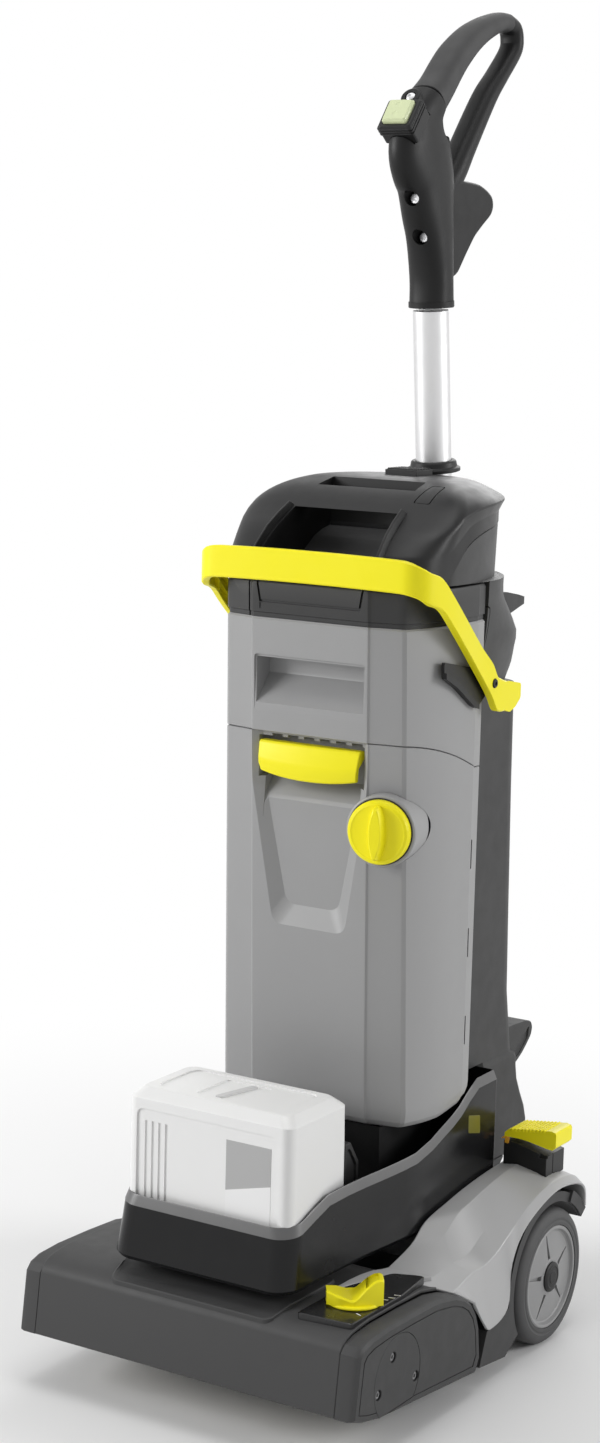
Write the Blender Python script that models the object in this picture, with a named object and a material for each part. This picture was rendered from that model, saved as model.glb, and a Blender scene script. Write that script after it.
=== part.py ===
"""Walk-behind floor scrubber with a battery, built as an assembly of separate named pieces.

Metres, +Z up. +X is the machine's right, -Y its front, and +Y is where the operator stands.
The origin is on the floor, under the middle of the machine's own box. The machine is modelled
parked: it stands on its two wheels and two skids, with the brush head held off the floor.
"""
import math

import bmesh
import bpy
from mathutils import Vector

# ---------------------------------------------------------------- driving dimensions
GAP = 0.0003                    # clearance between touching pieces
WALL = 0.003                    # moulded wall thickness

HEAD_HALF = 0.1675              # half the width over the brush head's end caps
HEAD_SHELL_HALF = 0.150         # half the width of the head between its end caps
BRUSH_AXIS = (-0.1835, 0.062)   # y, z
BRUSH_RADIUS = 0.034
BRUSH_HALF = 0.143
MOTOR_AXIS = (-0.100, 0.076)    # y, z
MOTOR_RADIUS = 0.024

WHEEL_AXIS = (0.0925, 0.062)    # y, z
WHEEL_RADIUS = 0.062
WHEEL_INNER = 0.1325
WHEEL_OUTER = 0.1655
RIM_RADIUS = 0.047
AXLE_RADIUS = 0.006
ARCH_INNER_RADIUS = 0.068
ARCH_OUTER_RADIUS = 0.0770

TOWER_PIVOT = (0.093, 0.110)    # y, z
TRAY_FLOOR = 0.125
TRAY_REAR = 0.098

TANK_HALF = 0.104
TANK_REAR = 0.042
TANK_LOW = 0.222
TANK_TOP = 0.658
LID_TOP = 0.690
TANK_LEAN = 0.0405              # forward lean of the tank front per metre of height

BAIL_PIVOT = (0.0345, 0.604)    # y, z
BAIL_BAR = (-0.0905, 0.7045)    # y, z
BAIL_ARM_X = 0.1135
BAIL_THICK = 0.005

CAP_CENTRE = Vector((0.0755, -0.0800, 0.488))
CAP_AZIMUTH = math.radians(11.5)

POLE_RADIUS = 0.016
POLE_BASE = Vector((0.0, 0.1225, 0.766))
POLE_LEAN = 0.105               # forward lean of the pole per metre of height
POLE_LOW = 0.690
POLE_HIGH = 0.919

BATTERY_HALF = 0.082
BATTERY_FRONT = -0.222
BATTERY_REAR = -0.131
BATTERY_LOW = 0.1475
BATTERY_TOP = 0.272

PEDAL_PIVOT = (0.110, 0.115, 0.183)
SELECTOR_CENTRE = Vector((0.124, -0.186, 0.1225))
LATCH_PIVOT = (-0.0745, 0.5485)  # y, z

ROUND = 32                      # sides of a large turned piece
SMALL_ROUND = 16                # sides of a small turned piece

# ---------------------------------------------------------------- materials
COLOURS = {
    "dark_shell": ((0.055, 0.056, 0.058, 1.0), 0.55, 0.0),
    "black_gloss": ((0.020, 0.020, 0.021, 1.0), 0.20, 0.0),
    "black_plastic": ((0.018, 0.018, 0.019, 1.0), 0.45, 0.0),
    "tank_grey": ((0.33, 0.33, 0.34, 1.0), 0.42, 0.0),
    "cover_grey": ((0.36, 0.36, 0.37, 1.0), 0.40, 0.0),
    "battery_white": ((0.80, 0.80, 0.79, 1.0), 0.38, 0.0),
    "yellow": ((0.90, 0.78, 0.01, 1.0), 0.35, 0.0),
    "rubber": ((0.045, 0.045, 0.047, 1.0), 0.80, 0.0),
    "wheel_grey": ((0.42, 0.42, 0.43, 1.0), 0.45, 0.0),
    "aluminium": ((0.72, 0.72, 0.73, 1.0), 0.32, 1.0),
    "steel": ((0.60, 0.60, 0.61, 1.0), 0.30, 1.0),
    "bristle": ((0.62, 0.60, 0.55, 1.0), 0.75, 0.0),
    "grip_grey": ((0.16, 0.16, 0.165, 1.0), 0.60, 0.0),
    "switch_lens": ((0.70, 0.76, 0.55, 1.0), 0.25, 0.0),
}
MATERIALS = {}
JOINT_PLACES = {}


def clear_scene():
    """Remove every object, so that the model is built in an empty scene."""
    for old in list(bpy.data.objects):
        bpy.data.objects.remove(old, do_unlink=True)


def material(name):
    """Return the named material, made once."""
    if name not in MATERIALS:
        colour, roughness, metallic = COLOURS[name]
        made = bpy.data.materials.new(name)
        made.use_nodes = True
        shader = made.node_tree.nodes["Principled BSDF"]
        shader.inputs["Base Color"].default_value = colour
        shader.inputs["Roughness"].default_value = roughness
        shader.inputs["Metallic"].default_value = metallic
        made.diffuse_color = colour
        MATERIALS[name] = made
    return MATERIALS[name]


def joint_empty(name, place, parent=None):
    """Make an empty on a joint's axis, for the pieces that move about it."""
    empty = bpy.data.objects.new(name, None)
    empty.empty_display_size = 0.03
    bpy.context.scene.collection.objects.link(empty)
    place = Vector(place)
    JOINT_PLACES[name] = place
    empty.location = place
    if parent:
        empty.parent = bpy.data.objects[parent]
        empty.location = place - JOINT_PLACES[parent]
    return empty


def finish(name, bm, finish_name, joint=None, smooth=None):
    """Turn a bmesh into a named object, with its material and its moving parent."""
    bmesh.ops.remove_doubles(bm, verts=bm.verts, dist=0.00001)
    bmesh.ops.recalc_face_normals(bm, faces=bm.faces)
    mesh = bpy.data.meshes.new(name)
    bm.to_mesh(mesh)
    bm.free()
    if smooth:
        mesh.shade_smooth()
        mesh.set_sharp_from_angle(angle=math.radians(smooth))
    made = bpy.data.objects.new(name, mesh)
    mesh.materials.append(material(finish_name))
    bpy.context.scene.collection.objects.link(made)
    if joint:
        made.parent = bpy.data.objects[joint]
        made.location = -JOINT_PLACES[joint]
    return made


def add_cutter(name, bm):
    """Make a hidden wire object that only cuts or joins others."""
    bmesh.ops.recalc_face_normals(bm, faces=bm.faces)
    mesh = bpy.data.meshes.new(name)
    bm.to_mesh(mesh)
    bm.free()
    made = bpy.data.objects.new(name, mesh)
    bpy.context.scene.collection.objects.link(made)
    made.hide_render = True
    made.display_type = "WIRE"
    return made


def boolean(target, cutter, operation="DIFFERENCE"):
    """Cut, join or trim the target with a cutter."""
    step = target.modifiers.new(cutter.name, "BOOLEAN")
    step.operation = operation
    step.solver = "EXACT"
    step.object = cutter


# ---------------------------------------------------------------- shapes
def cap_across(bm, ring):
    """Cap a mirrored ring with strips that run straight across it, from side to side."""
    half = len(ring) // 2
    marks = [0]
    for index in range(1, half + 1):
        if abs(ring[index].co.y - ring[marks[-1]].co.y) > 0.00001:
            marks.append(index)
    marks[-1] = half
    for low, high in zip(marks, marks[1:]):
        corners = ring[low:high + 1] + [ring[-index] for index in range(high, low - 1, -1)]
        bm.faces.new(list(dict.fromkeys(corners)))


def loft(bm, rings, across=False):
    """Skin a list of point rings of equal length, and cap both ends."""
    made = [[bm.verts.new(point) for point in ring] for ring in rings]
    count = len(made[0])
    for low, high in zip(made, made[1:]):
        for index in range(count):
            after = (index + 1) % count
            bm.faces.new((low[index], low[after], high[after], high[index]))
    for ring in (made[0], made[-1]):
        if across:
            cap_across(bm, ring)
        else:
            bm.faces.new(ring)
    return bm


def prism_x(bm, outline, low, high):
    """Extrude a (y, z) outline along X."""
    return loft(bm, [[(x, y, z) for y, z in outline] for x in (low, high)])


def prism_y(bm, outline, low, high):
    """Extrude an (x, z) outline along Y."""
    return loft(bm, [[(x, y, z) for x, z in outline] for y in (low, high)])


def prism_z(bm, outline, low, high):
    """Extrude an (x, y) outline along Z."""
    return loft(bm, [[(x, y, z) for x, y in outline] for z in (low, high)])


def box(bm, low, high):
    """Add a box between two corners."""
    outline = [(low[0], low[1]), (high[0], low[1]), (high[0], high[1]), (low[0], high[1])]
    return prism_z(bm, outline, low[2], high[2])


def mirror_outline(half):
    """Complete an outline from its right half, which starts and ends on X = 0 or off it."""
    left = [(-x, y) for x, y in reversed(half) if abs(x) > 1e-9]
    return list(half) + left


def turned(bm, profile, place, axis="X", sides=ROUND):
    """Turn a closed (radius, along) profile about an axis through place.

    A profile that starts and ends at radius 0 makes a solid, any other one a ring.
    """
    named = {"X": (1, 0, 0), "Z": (0, 0, 1)}
    along = Vector(named[axis] if isinstance(axis, str) else axis).normalized()
    side = along.orthogonal().normalized()
    up = along.cross(side)
    place = Vector(place)
    rings = []
    for radius, distance in profile:
        centre = place + along * distance
        if radius < 1e-9:
            rings.append([bm.verts.new(centre)])
            continue
        angles = [2 * math.pi * step / sides for step in range(sides)]
        spots = [centre + (side * math.cos(a) + up * math.sin(a)) * radius for a in angles]
        rings.append([bm.verts.new(spot) for spot in spots])
    pairs = list(zip(rings, rings[1:]))
    if len(rings[0]) > 1:
        pairs.append((rings[-1], rings[0]))
    for first, second in pairs:
        for index in range(sides):
            after = (index + 1) % sides
            corners = [first[index % len(first)], first[after % len(first)],
                       second[after % len(second)], second[index % len(second)]]
            unique = list(dict.fromkeys(corners))
            if len(unique) > 2:
                bm.faces.new(unique)
    return bm


def cylinder(bm, place, axis, radius, low, high, sides=SMALL_ROUND):
    """Add a plain cylinder along an axis."""
    return turned(bm, [(0, low), (radius, low), (radius, high), (0, high)], place, axis, sides)


def offset_path(points, distance):
    """Offset an open path of 2-D points to its right by a distance."""
    moved = []
    for index, point in enumerate(points):
        before = Vector(points[max(index - 1, 0)])
        after = Vector(points[min(index + 1, len(points) - 1)])
        run = (after - before).normalized()
        moved.append((point[0] + run.y * distance, point[1] - run.x * distance))
    return moved


def strip_outline(points, thickness):
    """Close an open path into the outline of a thin wall on its right side."""
    return list(points) + list(reversed(offset_path(points, thickness)))


def arc(centre, radius, start, end, steps):
    """Return points on a circle from one angle to another, in degrees."""
    angles = [math.radians(start + (end - start) * step / steps) for step in range(steps + 1)]
    return [(centre[0] + radius * math.cos(a), centre[1] + radius * math.sin(a)) for a in angles]


def between(value, table):
    """Read a smooth-stepped value from a short table of (place, value) pairs."""
    if value <= table[0][0]:
        return table[0][1]
    for (low, first), (high, second) in zip(table, table[1:]):
        if value <= high:
            part = (value - low) / (high - low)
            return first + (second - first) * part
    return table[-1][1]


def tube_rings(path, sides, lead=None, follow=None):
    """Rings of a tube in the YZ plane, through (y, z, half_x, half_normal) stations.

    lead and follow are the stations of a neighbouring tube just before and after this one.
    """
    rings = []
    line = [lead or path[0]] + path + [follow or path[-1]]
    for index, (y, z, half_x, half_n) in enumerate(path):
        before = line[index]
        after = line[index + 2]
        run = Vector((after[0] - before[0], after[1] - before[1])).normalized()
        normal = Vector((-run.y, run.x))
        angles = [2 * math.pi * step / sides for step in range(sides)]
        rings.append([(half_x * math.cos(a),
                       y + normal.x * half_n * math.sin(a),
                       z + normal.y * half_n * math.sin(a)) for a in angles])
    return rings


# ---------------------------------------------------------------- brush head and chassis
HEAD_PROFILE = [(-0.2565, 0.048), (-0.2495, 0.1005), (-0.232, 0.113), (-0.205, 0.1155),
                (-0.120, 0.1130), (-0.096, 0.1075), (-0.065, 0.096), (-0.047, 0.070),
                (-0.043, 0.030), (-0.048, 0.0195)]
CAP_OUTLINE = [(-0.2565, 0.048), (-0.2495, 0.1005), (-0.232, 0.1100), (-0.205, 0.1115),
               (-0.160, 0.1105), (-0.120, 0.1085), (-0.089, 0.1020), (-0.060, 0.086),
               (-0.0455, 0.060), (-0.042, 0.030), (-0.048, 0.019), (-0.213, 0.036),
               (-0.240, 0.042)]
SCREW_SPOTS = [(-0.1945, 0.083), (-0.1565, 0.054), (-0.2165, 0.058)]
BEARING_CENTRE = (-0.187, 0.063)
BEARING_RADIUS = 0.037


def brush_housing():
    """The head's moulded shell: one bent wall, open below and at both ends."""
    bm = bmesh.new()
    prism_x(bm, strip_outline(HEAD_PROFILE, WALL), -HEAD_SHELL_HALF, HEAD_SHELL_HALF)
    return finish("brush_housing", bm, "dark_shell")


def end_cap(side, name):
    """An end cap of the head, with a pocket on its inner face for the drive or the bearing."""
    bm = bmesh.new()
    inner = side * (HEAD_SHELL_HALF + GAP)
    bevelled = [(y * 0.985 - 0.0022, 0.0655 + (z - 0.0655) * 0.955) for y, z in CAP_OUTLINE]
    loft(bm, [[(inner, y, z) for y, z in CAP_OUTLINE],
              [(side * (HEAD_HALF - 0.004), y, z) for y, z in CAP_OUTLINE],
              [(side * HEAD_HALF, y, z) for y, z in bevelled]])
    cap = finish(name, bm, "dark_shell")
    pocket = bmesh.new()
    small = [(-0.150 + (y + 0.150) * 0.93, 0.066 + (z - 0.066) * 0.86) for y, z in CAP_OUTLINE]
    ends = sorted((inner - side * 0.01, side * (HEAD_HALF - 0.0045)))
    prism_x(pocket, small, ends[0], ends[1])
    boolean(cap, add_cutter(name + "_pocket", pocket))
    return cap


def right_cap_details(cap):
    """The round bearing cover let into the right cap, and its three screws."""
    seat = bmesh.new()
    prism_x(seat, arc(BEARING_CENTRE, BEARING_RADIUS + GAP, -44, 224, ROUND),
            HEAD_HALF - 0.0022, HEAD_HALF + 0.01)
    boolean(cap, add_cutter("bearing_seat", seat))
    bm = bmesh.new()
    prism_x(bm, arc(BEARING_CENTRE, BEARING_RADIUS, -43.5, 223.5, ROUND),
            HEAD_HALF - 0.0019, HEAD_HALF)
    cover = finish("bearing_cover", bm, "dark_shell")
    for index, spot in enumerate(SCREW_SPOTS):
        hole = bmesh.new()
        cylinder(hole, (HEAD_HALF, *spot), "X", 0.0050, -0.003, 0.01)
        boolean(cover, add_cutter("cover_screw_hole_%d" % (index + 1), hole))
        screw = bmesh.new()
        cylinder(screw, (HEAD_HALF, *spot), "X", 0.0044, -0.0018, -0.0006)
        finish("cover_screw_%d" % (index + 1), screw, "steel")


def deck_panel():
    """The dark inset deck on the head's roof, beside the tray."""
    bm = bmesh.new()
    box(bm, (0.101, -0.226, 0.1160), (0.149, -0.108, 0.1180))
    return finish("deck_panel", bm, "black_plastic")


def chassis():
    """The moulded centre of the base: an upturned tub between the wheels."""
    outer = [(-0.041, 0.022), (-0.041, 0.104), (0.052, 0.104), (0.068, 0.084), (0.112, 0.082),
             (0.112, 0.046), (0.060, 0.022)]
    inner = [(-0.038, 0.010), (-0.038, 0.101), (0.0505, 0.101), (0.0665, 0.081), (0.109, 0.079),
             (0.109, 0.049), (0.062, 0.010)]
    bm = bmesh.new()
    prism_x(bm, outer, -0.1265, 0.1265)
    body = finish("chassis", bm, "dark_shell")
    hollow = bmesh.new()
    prism_x(hollow, inner, -0.1235, 0.1235)
    boolean(body, add_cutter("chassis_hollow", hollow))
    bore = bmesh.new()
    cylinder(bore, (0, *WHEEL_AXIS), "X", AXLE_RADIUS + GAP, -0.14, 0.14)
    boolean(body, add_cutter("chassis_axle_bore", bore))
    return body


def pivot_bracket(side, name):
    """An upright ear on the chassis that carries the tower's pivot pin."""
    y, z = TOWER_PIVOT
    low = 0.0845
    outline = [(y - 0.018, low), (y + 0.018, low)] + arc((y, z), 0.012, -20, 200, 10)
    bm = bmesh.new()
    ends = sorted((side * 0.082, side * 0.092))
    prism_x(bm, outline, ends[0], ends[1])
    ear = finish(name, bm, "dark_shell")
    bore = bmesh.new()
    cylinder(bore, (0, y, z), "X", 0.005 + GAP, -0.11, 0.11)
    boolean(ear, add_cutter(name + "_bore", bore))
    return ear


def pivot_pin():
    """The steel pin that the tower tilts on."""
    bm = bmesh.new()
    cylinder(bm, (0, *TOWER_PIVOT), "X", 0.005, -0.098, 0.098)
    return finish("tower_pivot_pin", bm, "steel", smooth=40)


def axle():
    """The wheel axle."""
    bm = bmesh.new()
    cylinder(bm, (0, *WHEEL_AXIS), "X", AXLE_RADIUS, -0.1635, 0.1635)
    return finish("axle", bm, "steel", smooth=40)


def wheel_arch(side, name):
    """The dark wheel house: a ring over the wheel that runs down into a foot in front of it."""
    inner = arc(WHEEL_AXIS, ARCH_INNER_RADIUS, 212, 38, 18)
    outer = arc(WHEEL_AXIS, ARCH_OUTER_RADIUS, 38, 184, 15)
    outline = [(-0.036, 0.0185), (0.0113, 0.0128)] + inner + outer + [(-0.024, 0.0480)]
    bm = bmesh.new()
    ends = sorted((side * 0.1275, side * 0.1630))
    prism_x(bm, outline, ends[0], ends[1])
    return finish(name, bm, "dark_shell")


COVER_STATIONS = [
    (0.1040, [(-0.093, 0.1130), (-0.060, 0.1240), (-0.035, 0.1380), (0.000, 0.1445),
              (0.040, 0.1500), (0.085, 0.1535), (0.131, 0.1540), (0.146, 0.1480),
              (0.156, 0.1340), (0.158, 0.1180)]),
    (0.1220, [(-0.093, 0.1130), (-0.050, 0.1220), (-0.0105, 0.1407), (0.015, 0.1455),
              (0.050, 0.1520), (0.088, 0.1565), (0.125, 0.1563), (0.145, 0.1500),
              (0.156, 0.1360), (0.158, 0.1160)]),
    (0.1420, [(-0.093, 0.1135), (-0.058, 0.1135), (-0.024, 0.1140), (0.005, 0.1270),
              (0.035, 0.1420), (0.075, 0.1510), (0.115, 0.1530), (0.140, 0.1470),
              (0.154, 0.1350), (0.157, 0.1140)]),
    (0.1600, [(-0.060, 0.1105), (-0.045, 0.1090), (-0.028, 0.1085), (-0.005, 0.1135),
              (0.020, 0.1250), (0.050, 0.1390), (0.090, 0.1480), (0.128, 0.1465),
              (0.150, 0.1370), (0.155, 0.1140)]),
    (0.1670, [(-0.0385, 0.0850), (-0.0350, 0.0600), (-0.024, 0.0510), (0.006, 0.0605),
              (0.012, 0.1000), (0.036, 0.1260), (0.088, 0.1425), (0.128, 0.1405),
              (0.151, 0.1310), (0.155, 0.1120)]),
]


def wheel_cover(side, name):
    """The light cover that sweeps from beside the tray over the wheel."""
    bm = bmesh.new()
    rows = [[bm.verts.new((side * x, y, z)) for y, z in points] for x, points in COVER_STATIONS]
    for first, second in zip(rows, rows[1:]):
        for index in range(len(first) - 1):
            corners = (first[index], second[index], second[index + 1], first[index + 1])
            bm.faces.new(corners if side > 0 else reversed(corners))
    mesh = bpy.data.meshes.new(name)
    bm.to_mesh(mesh)
    bm.free()
    cover = bpy.data.objects.new(name, mesh)
    mesh.materials.append(material("cover_grey"))
    bpy.context.scene.collection.objects.link(cover)
    wall = cover.modifiers.new("wall", "SOLIDIFY")
    wall.thickness = 0.0024
    wall.offset = -1.0
    return cover


def park_skid(side, name):
    """A skid under the chassis that holds the parked head off the floor."""
    outline = [(-0.130, 0.004), (-0.126, 0.0), (-0.010, 0.0), (-0.010, 0.0217),
               (-0.0375, 0.0217), (-0.0375, 0.009), (-0.126, 0.009)]
    bm = bmesh.new()
    ends = sorted((side * 0.082, side * 0.104))
    prism_x(bm, outline, ends[0], ends[1])
    return finish(name, bm, "rubber")


def brush_motor():
    """The brush motor, behind the brush, with its shaft in the left end cap."""
    bm = bmesh.new()
    turned(bm, [(0, -0.160), (0.004, -0.160), (0.004, -0.140), (MOTOR_RADIUS * 0.8, -0.140),
                (MOTOR_RADIUS, -0.134), (MOTOR_RADIUS, 0.010), (MOTOR_RADIUS * 0.8, 0.020),
                (0, 0.020)], (0, *MOTOR_AXIS), "X", SMALL_ROUND + 4)
    return finish("brush_motor", bm, "steel", smooth=40)


def brush_roller():
    """The roller brush: a moulded core with stub ends, and its field of bristles."""
    bm = bmesh.new()
    turned(bm, [(0, -0.1625), (0.008, -0.1625), (0.008, -0.1465), (0.016, -0.1455),
                (0.016, 0.1455), (0.008, 0.1465), (0.008, 0.1600), (0, 0.1600)],
           (0, *BRUSH_AXIS), "X", SMALL_ROUND)
    finish("brush_core", bm, "black_plastic", "brush_spin", 40)
    bm = bmesh.new()
    turned(bm, [(0.0163, -BRUSH_HALF), (BRUSH_RADIUS, -BRUSH_HALF + 0.002),
                (BRUSH_RADIUS, BRUSH_HALF - 0.002), (0.0163, BRUSH_HALF)],
           (0, *BRUSH_AXIS), "X", 24)
    finish("brush_bristles", bm, "bristle", "brush_spin", 60)


def squeegee():
    """The lifting suction frame round the brush, with its front and rear lips."""
    bar = bmesh.new()
    box(bar, (-0.146, -0.2425, 0.0625), (0.146, -0.2315, 0.0735))
    frame = finish("squeegee_frame", bar, "black_plastic", "squeegee_lift")
    rear = bmesh.new()
    box(rear, (-0.146, -0.0695, 0.0365), (0.146, -0.0565, 0.0495))
    boolean(frame, add_cutter("squeegee_rear_bar", rear), "UNION")
    rail = [(-0.243, 0.062), (-0.243, 0.096), (-0.236, 0.101), (-0.095, 0.101), (-0.066, 0.084),
            (-0.056, 0.068), (-0.056, 0.036), (-0.070, 0.036), (-0.070, 0.064), (-0.074, 0.080),
            (-0.098, 0.095), (-0.231, 0.095), (-0.231, 0.062)]
    for side, word in ((-1, "left"), (1, "right")):
        arm = bmesh.new()
        ends = sorted((side * 0.1440, side * 0.1475))
        prism_x(arm, rail, ends[0], ends[1])
        boolean(frame, add_cutter("squeegee_rail_" + word, arm), "UNION")
    for name, y, low, high in (("squeegee_lip_front", -0.237, 0.0500, 0.0622),
                               ("squeegee_lip_rear", -0.063, 0.0235, 0.0362)):
        lip = bmesh.new()
        box(lip, (-0.142, y - 0.0015, low), (0.142, y + 0.0015, high))
        finish(name, lip, "rubber", "squeegee_lift")


def wheel(side, word):
    """A wheel: tyre, hub and centre cap."""
    joint = "wheel_%s_spin" % word
    def spots(profile):
        return [(radius, side * along) for radius, along in profile]
    bm = bmesh.new()
    turned(bm, spots([(RIM_RADIUS, WHEEL_INNER), (WHEEL_RADIUS - 0.003, WHEEL_INNER),
                      (WHEEL_RADIUS, WHEEL_INNER + 0.004), (WHEEL_RADIUS, WHEEL_OUTER - 0.006),
                      (WHEEL_RADIUS - 0.005, WHEEL_OUTER), (RIM_RADIUS, WHEEL_OUTER)]),
           (0, *WHEEL_AXIS), "X", ROUND)
    finish("wheel_%s_tyre" % word, bm, "rubber", joint, 50)
    bm = bmesh.new()
    bore = AXLE_RADIUS + GAP
    rim = RIM_RADIUS - GAP
    turned(bm, spots([(bore, WHEEL_INNER + 0.001), (rim, WHEEL_INNER + 0.001),
                      (rim, WHEEL_OUTER - 0.001), (rim - 0.003, WHEEL_OUTER - 0.001),
                      (rim - 0.005, WHEEL_OUTER - 0.004), (0.018, WHEEL_OUTER - 0.0025),
                      (0.015, WHEEL_OUTER - 0.0015), (bore, WHEEL_OUTER - 0.0015)]),
           (0, *WHEEL_AXIS), "X", ROUND)
    finish("wheel_%s_hub" % word, bm, "wheel_grey", joint, 40)
    bm = bmesh.new()
    turned(bm, spots([(0, WHEEL_OUTER - 0.0012), (0.0135, WHEEL_OUTER - 0.0012),
                      (0.0130, WHEEL_OUTER + 0.0004), (0.010, WHEEL_OUTER + 0.0014),
                      (0, WHEEL_OUTER + 0.0016)]), (0, *WHEEL_AXIS), "X", SMALL_ROUND)
    finish("wheel_%s_cap" % word, bm, "black_plastic", joint, 60)


def selector():
    """The water selector knob on the deck: a low pad with a raised lobe."""
    bm = bmesh.new()
    plan = arc((SELECTOR_CENTRE.x, SELECTOR_CENTRE.y), 0.0235, 0, 360, 20)[:-1]
    low = 0.1184
    rings = [[(x, y, low) for x, y in plan],
             [(x, y, 0.1215 + 0.32 * max(0.0, y - SELECTOR_CENTRE.y + 0.004)) for x, y in plan],
             [(SELECTOR_CENTRE.x + (x - SELECTOR_CENTRE.x) * 0.8,
               SELECTOR_CENTRE.y + (y - SELECTOR_CENTRE.y) * 0.8,
               0.1245 + 0.42 * max(0.0, y - SELECTOR_CENTRE.y)) for x, y in plan]]
    loft(bm, rings)
    return finish("selector_knob", bm, "yellow", "selector_turn", 40)


def pedal_set():
    """The foot pedal that lowers the suction lips, and the block it stands on."""
    bm = bmesh.new()
    prism_y(bm, [(0.1080, 0.1575), (0.1220, 0.1575), (0.1420, 0.1545), (0.1515, 0.1520),
                 (0.1515, 0.1680), (0.1300, 0.1740), (0.1120, 0.1788), (0.1080, 0.1788)],
            0.1000, 0.1360)
    finish("pedal_block", bm, "black_plastic")
    bm = bmesh.new()
    prism_y(bm, [(0.1080, 0.1795), (0.1120, 0.1812), (0.1300, 0.1812), (0.1450, 0.1795),
                 (0.1610, 0.1765), (0.1610, 0.1940), (0.1580, 0.1955), (0.1130, 0.1888),
                 (0.1090, 0.1850)], 0.0990, 0.1310)
    finish("squeegee_pedal", bm, "yellow", "pedal_press")


# ---------------------------------------------------------------- tower
def tray_plan(inset, spread):
    """Plan outline of the tray, pulled in by inset; spread widens the sloping front."""
    half = 0.087 + spread * 0.35
    front = -0.228 - spread
    radius = 0.020
    points = [(0.0, front), (half - radius, front)]
    points += arc((half - radius, front + radius), radius, -72, 0, 4)
    points += [(0.0885 + spread * 0.2, -0.170), (0.0925, -0.120), (0.0965, -0.080),
               (0.1005, -0.045), (0.101, 0.0), (0.101, 0.030), (0.101, 0.062),
               (0.101, TRAY_REAR - 0.006), (0.095, TRAY_REAR), (0.0, TRAY_REAR)]
    centre_y = -0.06
    moved = []
    for x, y in points:
        new_x = max(0.0, x - inset) if x > 1e-9 else 0.0
        new_y = y
        if y < -0.200:
            new_y = y + inset
        elif y > TRAY_REAR - 0.007:
            new_y = y - inset
        elif y < centre_y - 0.1:
            new_y = y + inset * 0.3
        moved.append((new_x, new_y))
    return mirror_outline(moved)


TRAY_RIM = [(-0.228, 0.180), (-0.205, 0.1835), (-0.170, 0.1960), (-0.137, 0.1980),
            (-0.048, 0.2005), (0.000, 0.2130), (0.030, 0.2240), (0.062, 0.2424), (0.098, 0.2424)]


def battery_tray():
    """The tray at the foot of the tower: a tub with a rim that sweeps up to the column."""
    def at_rim(plan):
        return [(x, y, between(y, TRAY_RIM)) for x, y in plan]
    rings = [[(x, y, TRAY_FLOOR) for x, y in tray_plan(0.004, 0.007)],
             [(x, y, TRAY_FLOOR + 0.005) for x, y in tray_plan(0.0, 0.008)],
             at_rim(tray_plan(0.0, 0.0)),
             at_rim(tray_plan(0.0035, 0.0)),
             [(x, y, 0.1470) for x, y in tray_plan(0.0040, 0.0)]]
    bm = bmesh.new()
    loft(bm, rings)
    tray = finish("battery_tray", bm, "black_gloss", "tower_tilt", 35)
    y, z = TOWER_PIVOT
    high = TRAY_FLOOR + 0.002
    outline = [(y - 0.030, high)] + arc((y, z), 0.0115, 200, 350, 8) + [(y + 0.004, high)]
    for word, low in (("left", -0.079), ("right", 0.066)):
        lug = bmesh.new()
        prism_x(lug, outline, low, low + 0.013)
        boolean(tray, add_cutter("tilt_lug_" + word, lug), "UNION")
    bore = bmesh.new()
    cylinder(bore, (0, y, z), "X", 0.005 + GAP, -0.11, 0.11)
    boolean(tray, add_cutter("tilt_bore", bore))
    return tray


def tank_seat():
    """The raised seat in the tray that carries the tanks."""
    bm = bmesh.new()
    prism_x(bm, [(-0.056, 0.1473), (0.034, 0.1473), (0.034, 0.2215), (-0.056, 0.2215)],
            -0.068, 0.068)
    return finish("tank_seat", bm, "black_plastic", "tower_tilt")


def connector_block():
    """The upright plug block behind the battery."""
    bm = bmesh.new()
    prism_x(bm, [(-0.127, 0.1473), (-0.104, 0.1473), (-0.104, 0.206), (-0.118, 0.226),
                 (-0.127, 0.226)], -0.034, 0.076)
    return finish("battery_connector", bm, "black_plastic", "tower_tilt")


COLUMN_SECTIONS = [
    (0.1385, 0.1055, 0.192, 0.074), (0.1480, 0.1055, 0.204, 0.078), (0.1660, 0.1055, 0.207, 0.078),
    (0.2000, 0.1055, 0.192, 0.078), (0.2240, 0.1055, 0.182, 0.079), (0.2427, 0.1055, 0.174, 0.080),
    (0.2433, 0.0435, 0.1739, 0.080), (0.3820, 0.0435, 0.168, 0.080), (0.4940, 0.0435, 0.164, 0.080),
    (0.5900, 0.0435, 0.162, 0.080)]


def column_ring(z, front, rear, half, inset=0.0):
    """Plan ring of the column: a box with a rounded back."""
    half -= inset
    rear -= inset
    front += inset
    radius = between(z, [(0.200, 0.010), (0.250, 0.030)])
    points = [(0.0, front), (half - 0.006, front), (half, front + 0.006)]
    points += arc((half - radius, rear - radius), radius, 0, 90, 6)
    points += [(0.0, rear)]
    return [(x, y, z) for x, y in mirror_outline(points)]


def rear_column():
    """The hollow upright behind the tanks, open at its top."""
    outer = [column_ring(*section) for section in COLUMN_SECTIONS]
    inner = [column_ring(z, 0.0435, rear, half, WALL)
             for z, rear, half in ((0.5900, 0.162, 0.080), (0.2460, 0.173, 0.080))]
    bm = bmesh.new()
    loft(bm, outer + inner)
    column = finish("rear_column", bm, "dark_shell", "tower_tilt", 35)
    ledge = bmesh.new()
    prism_x(ledge, [(0.1720, 0.2600), (0.1720, 0.2320), (0.1760, 0.2240), (0.1977, 0.2334),
                    (0.2105, 0.2435), (0.1992, 0.2557)], -0.072, 0.072)
    boolean(column, add_cutter("column_ledge", ledge), "UNION")
    return column


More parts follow.
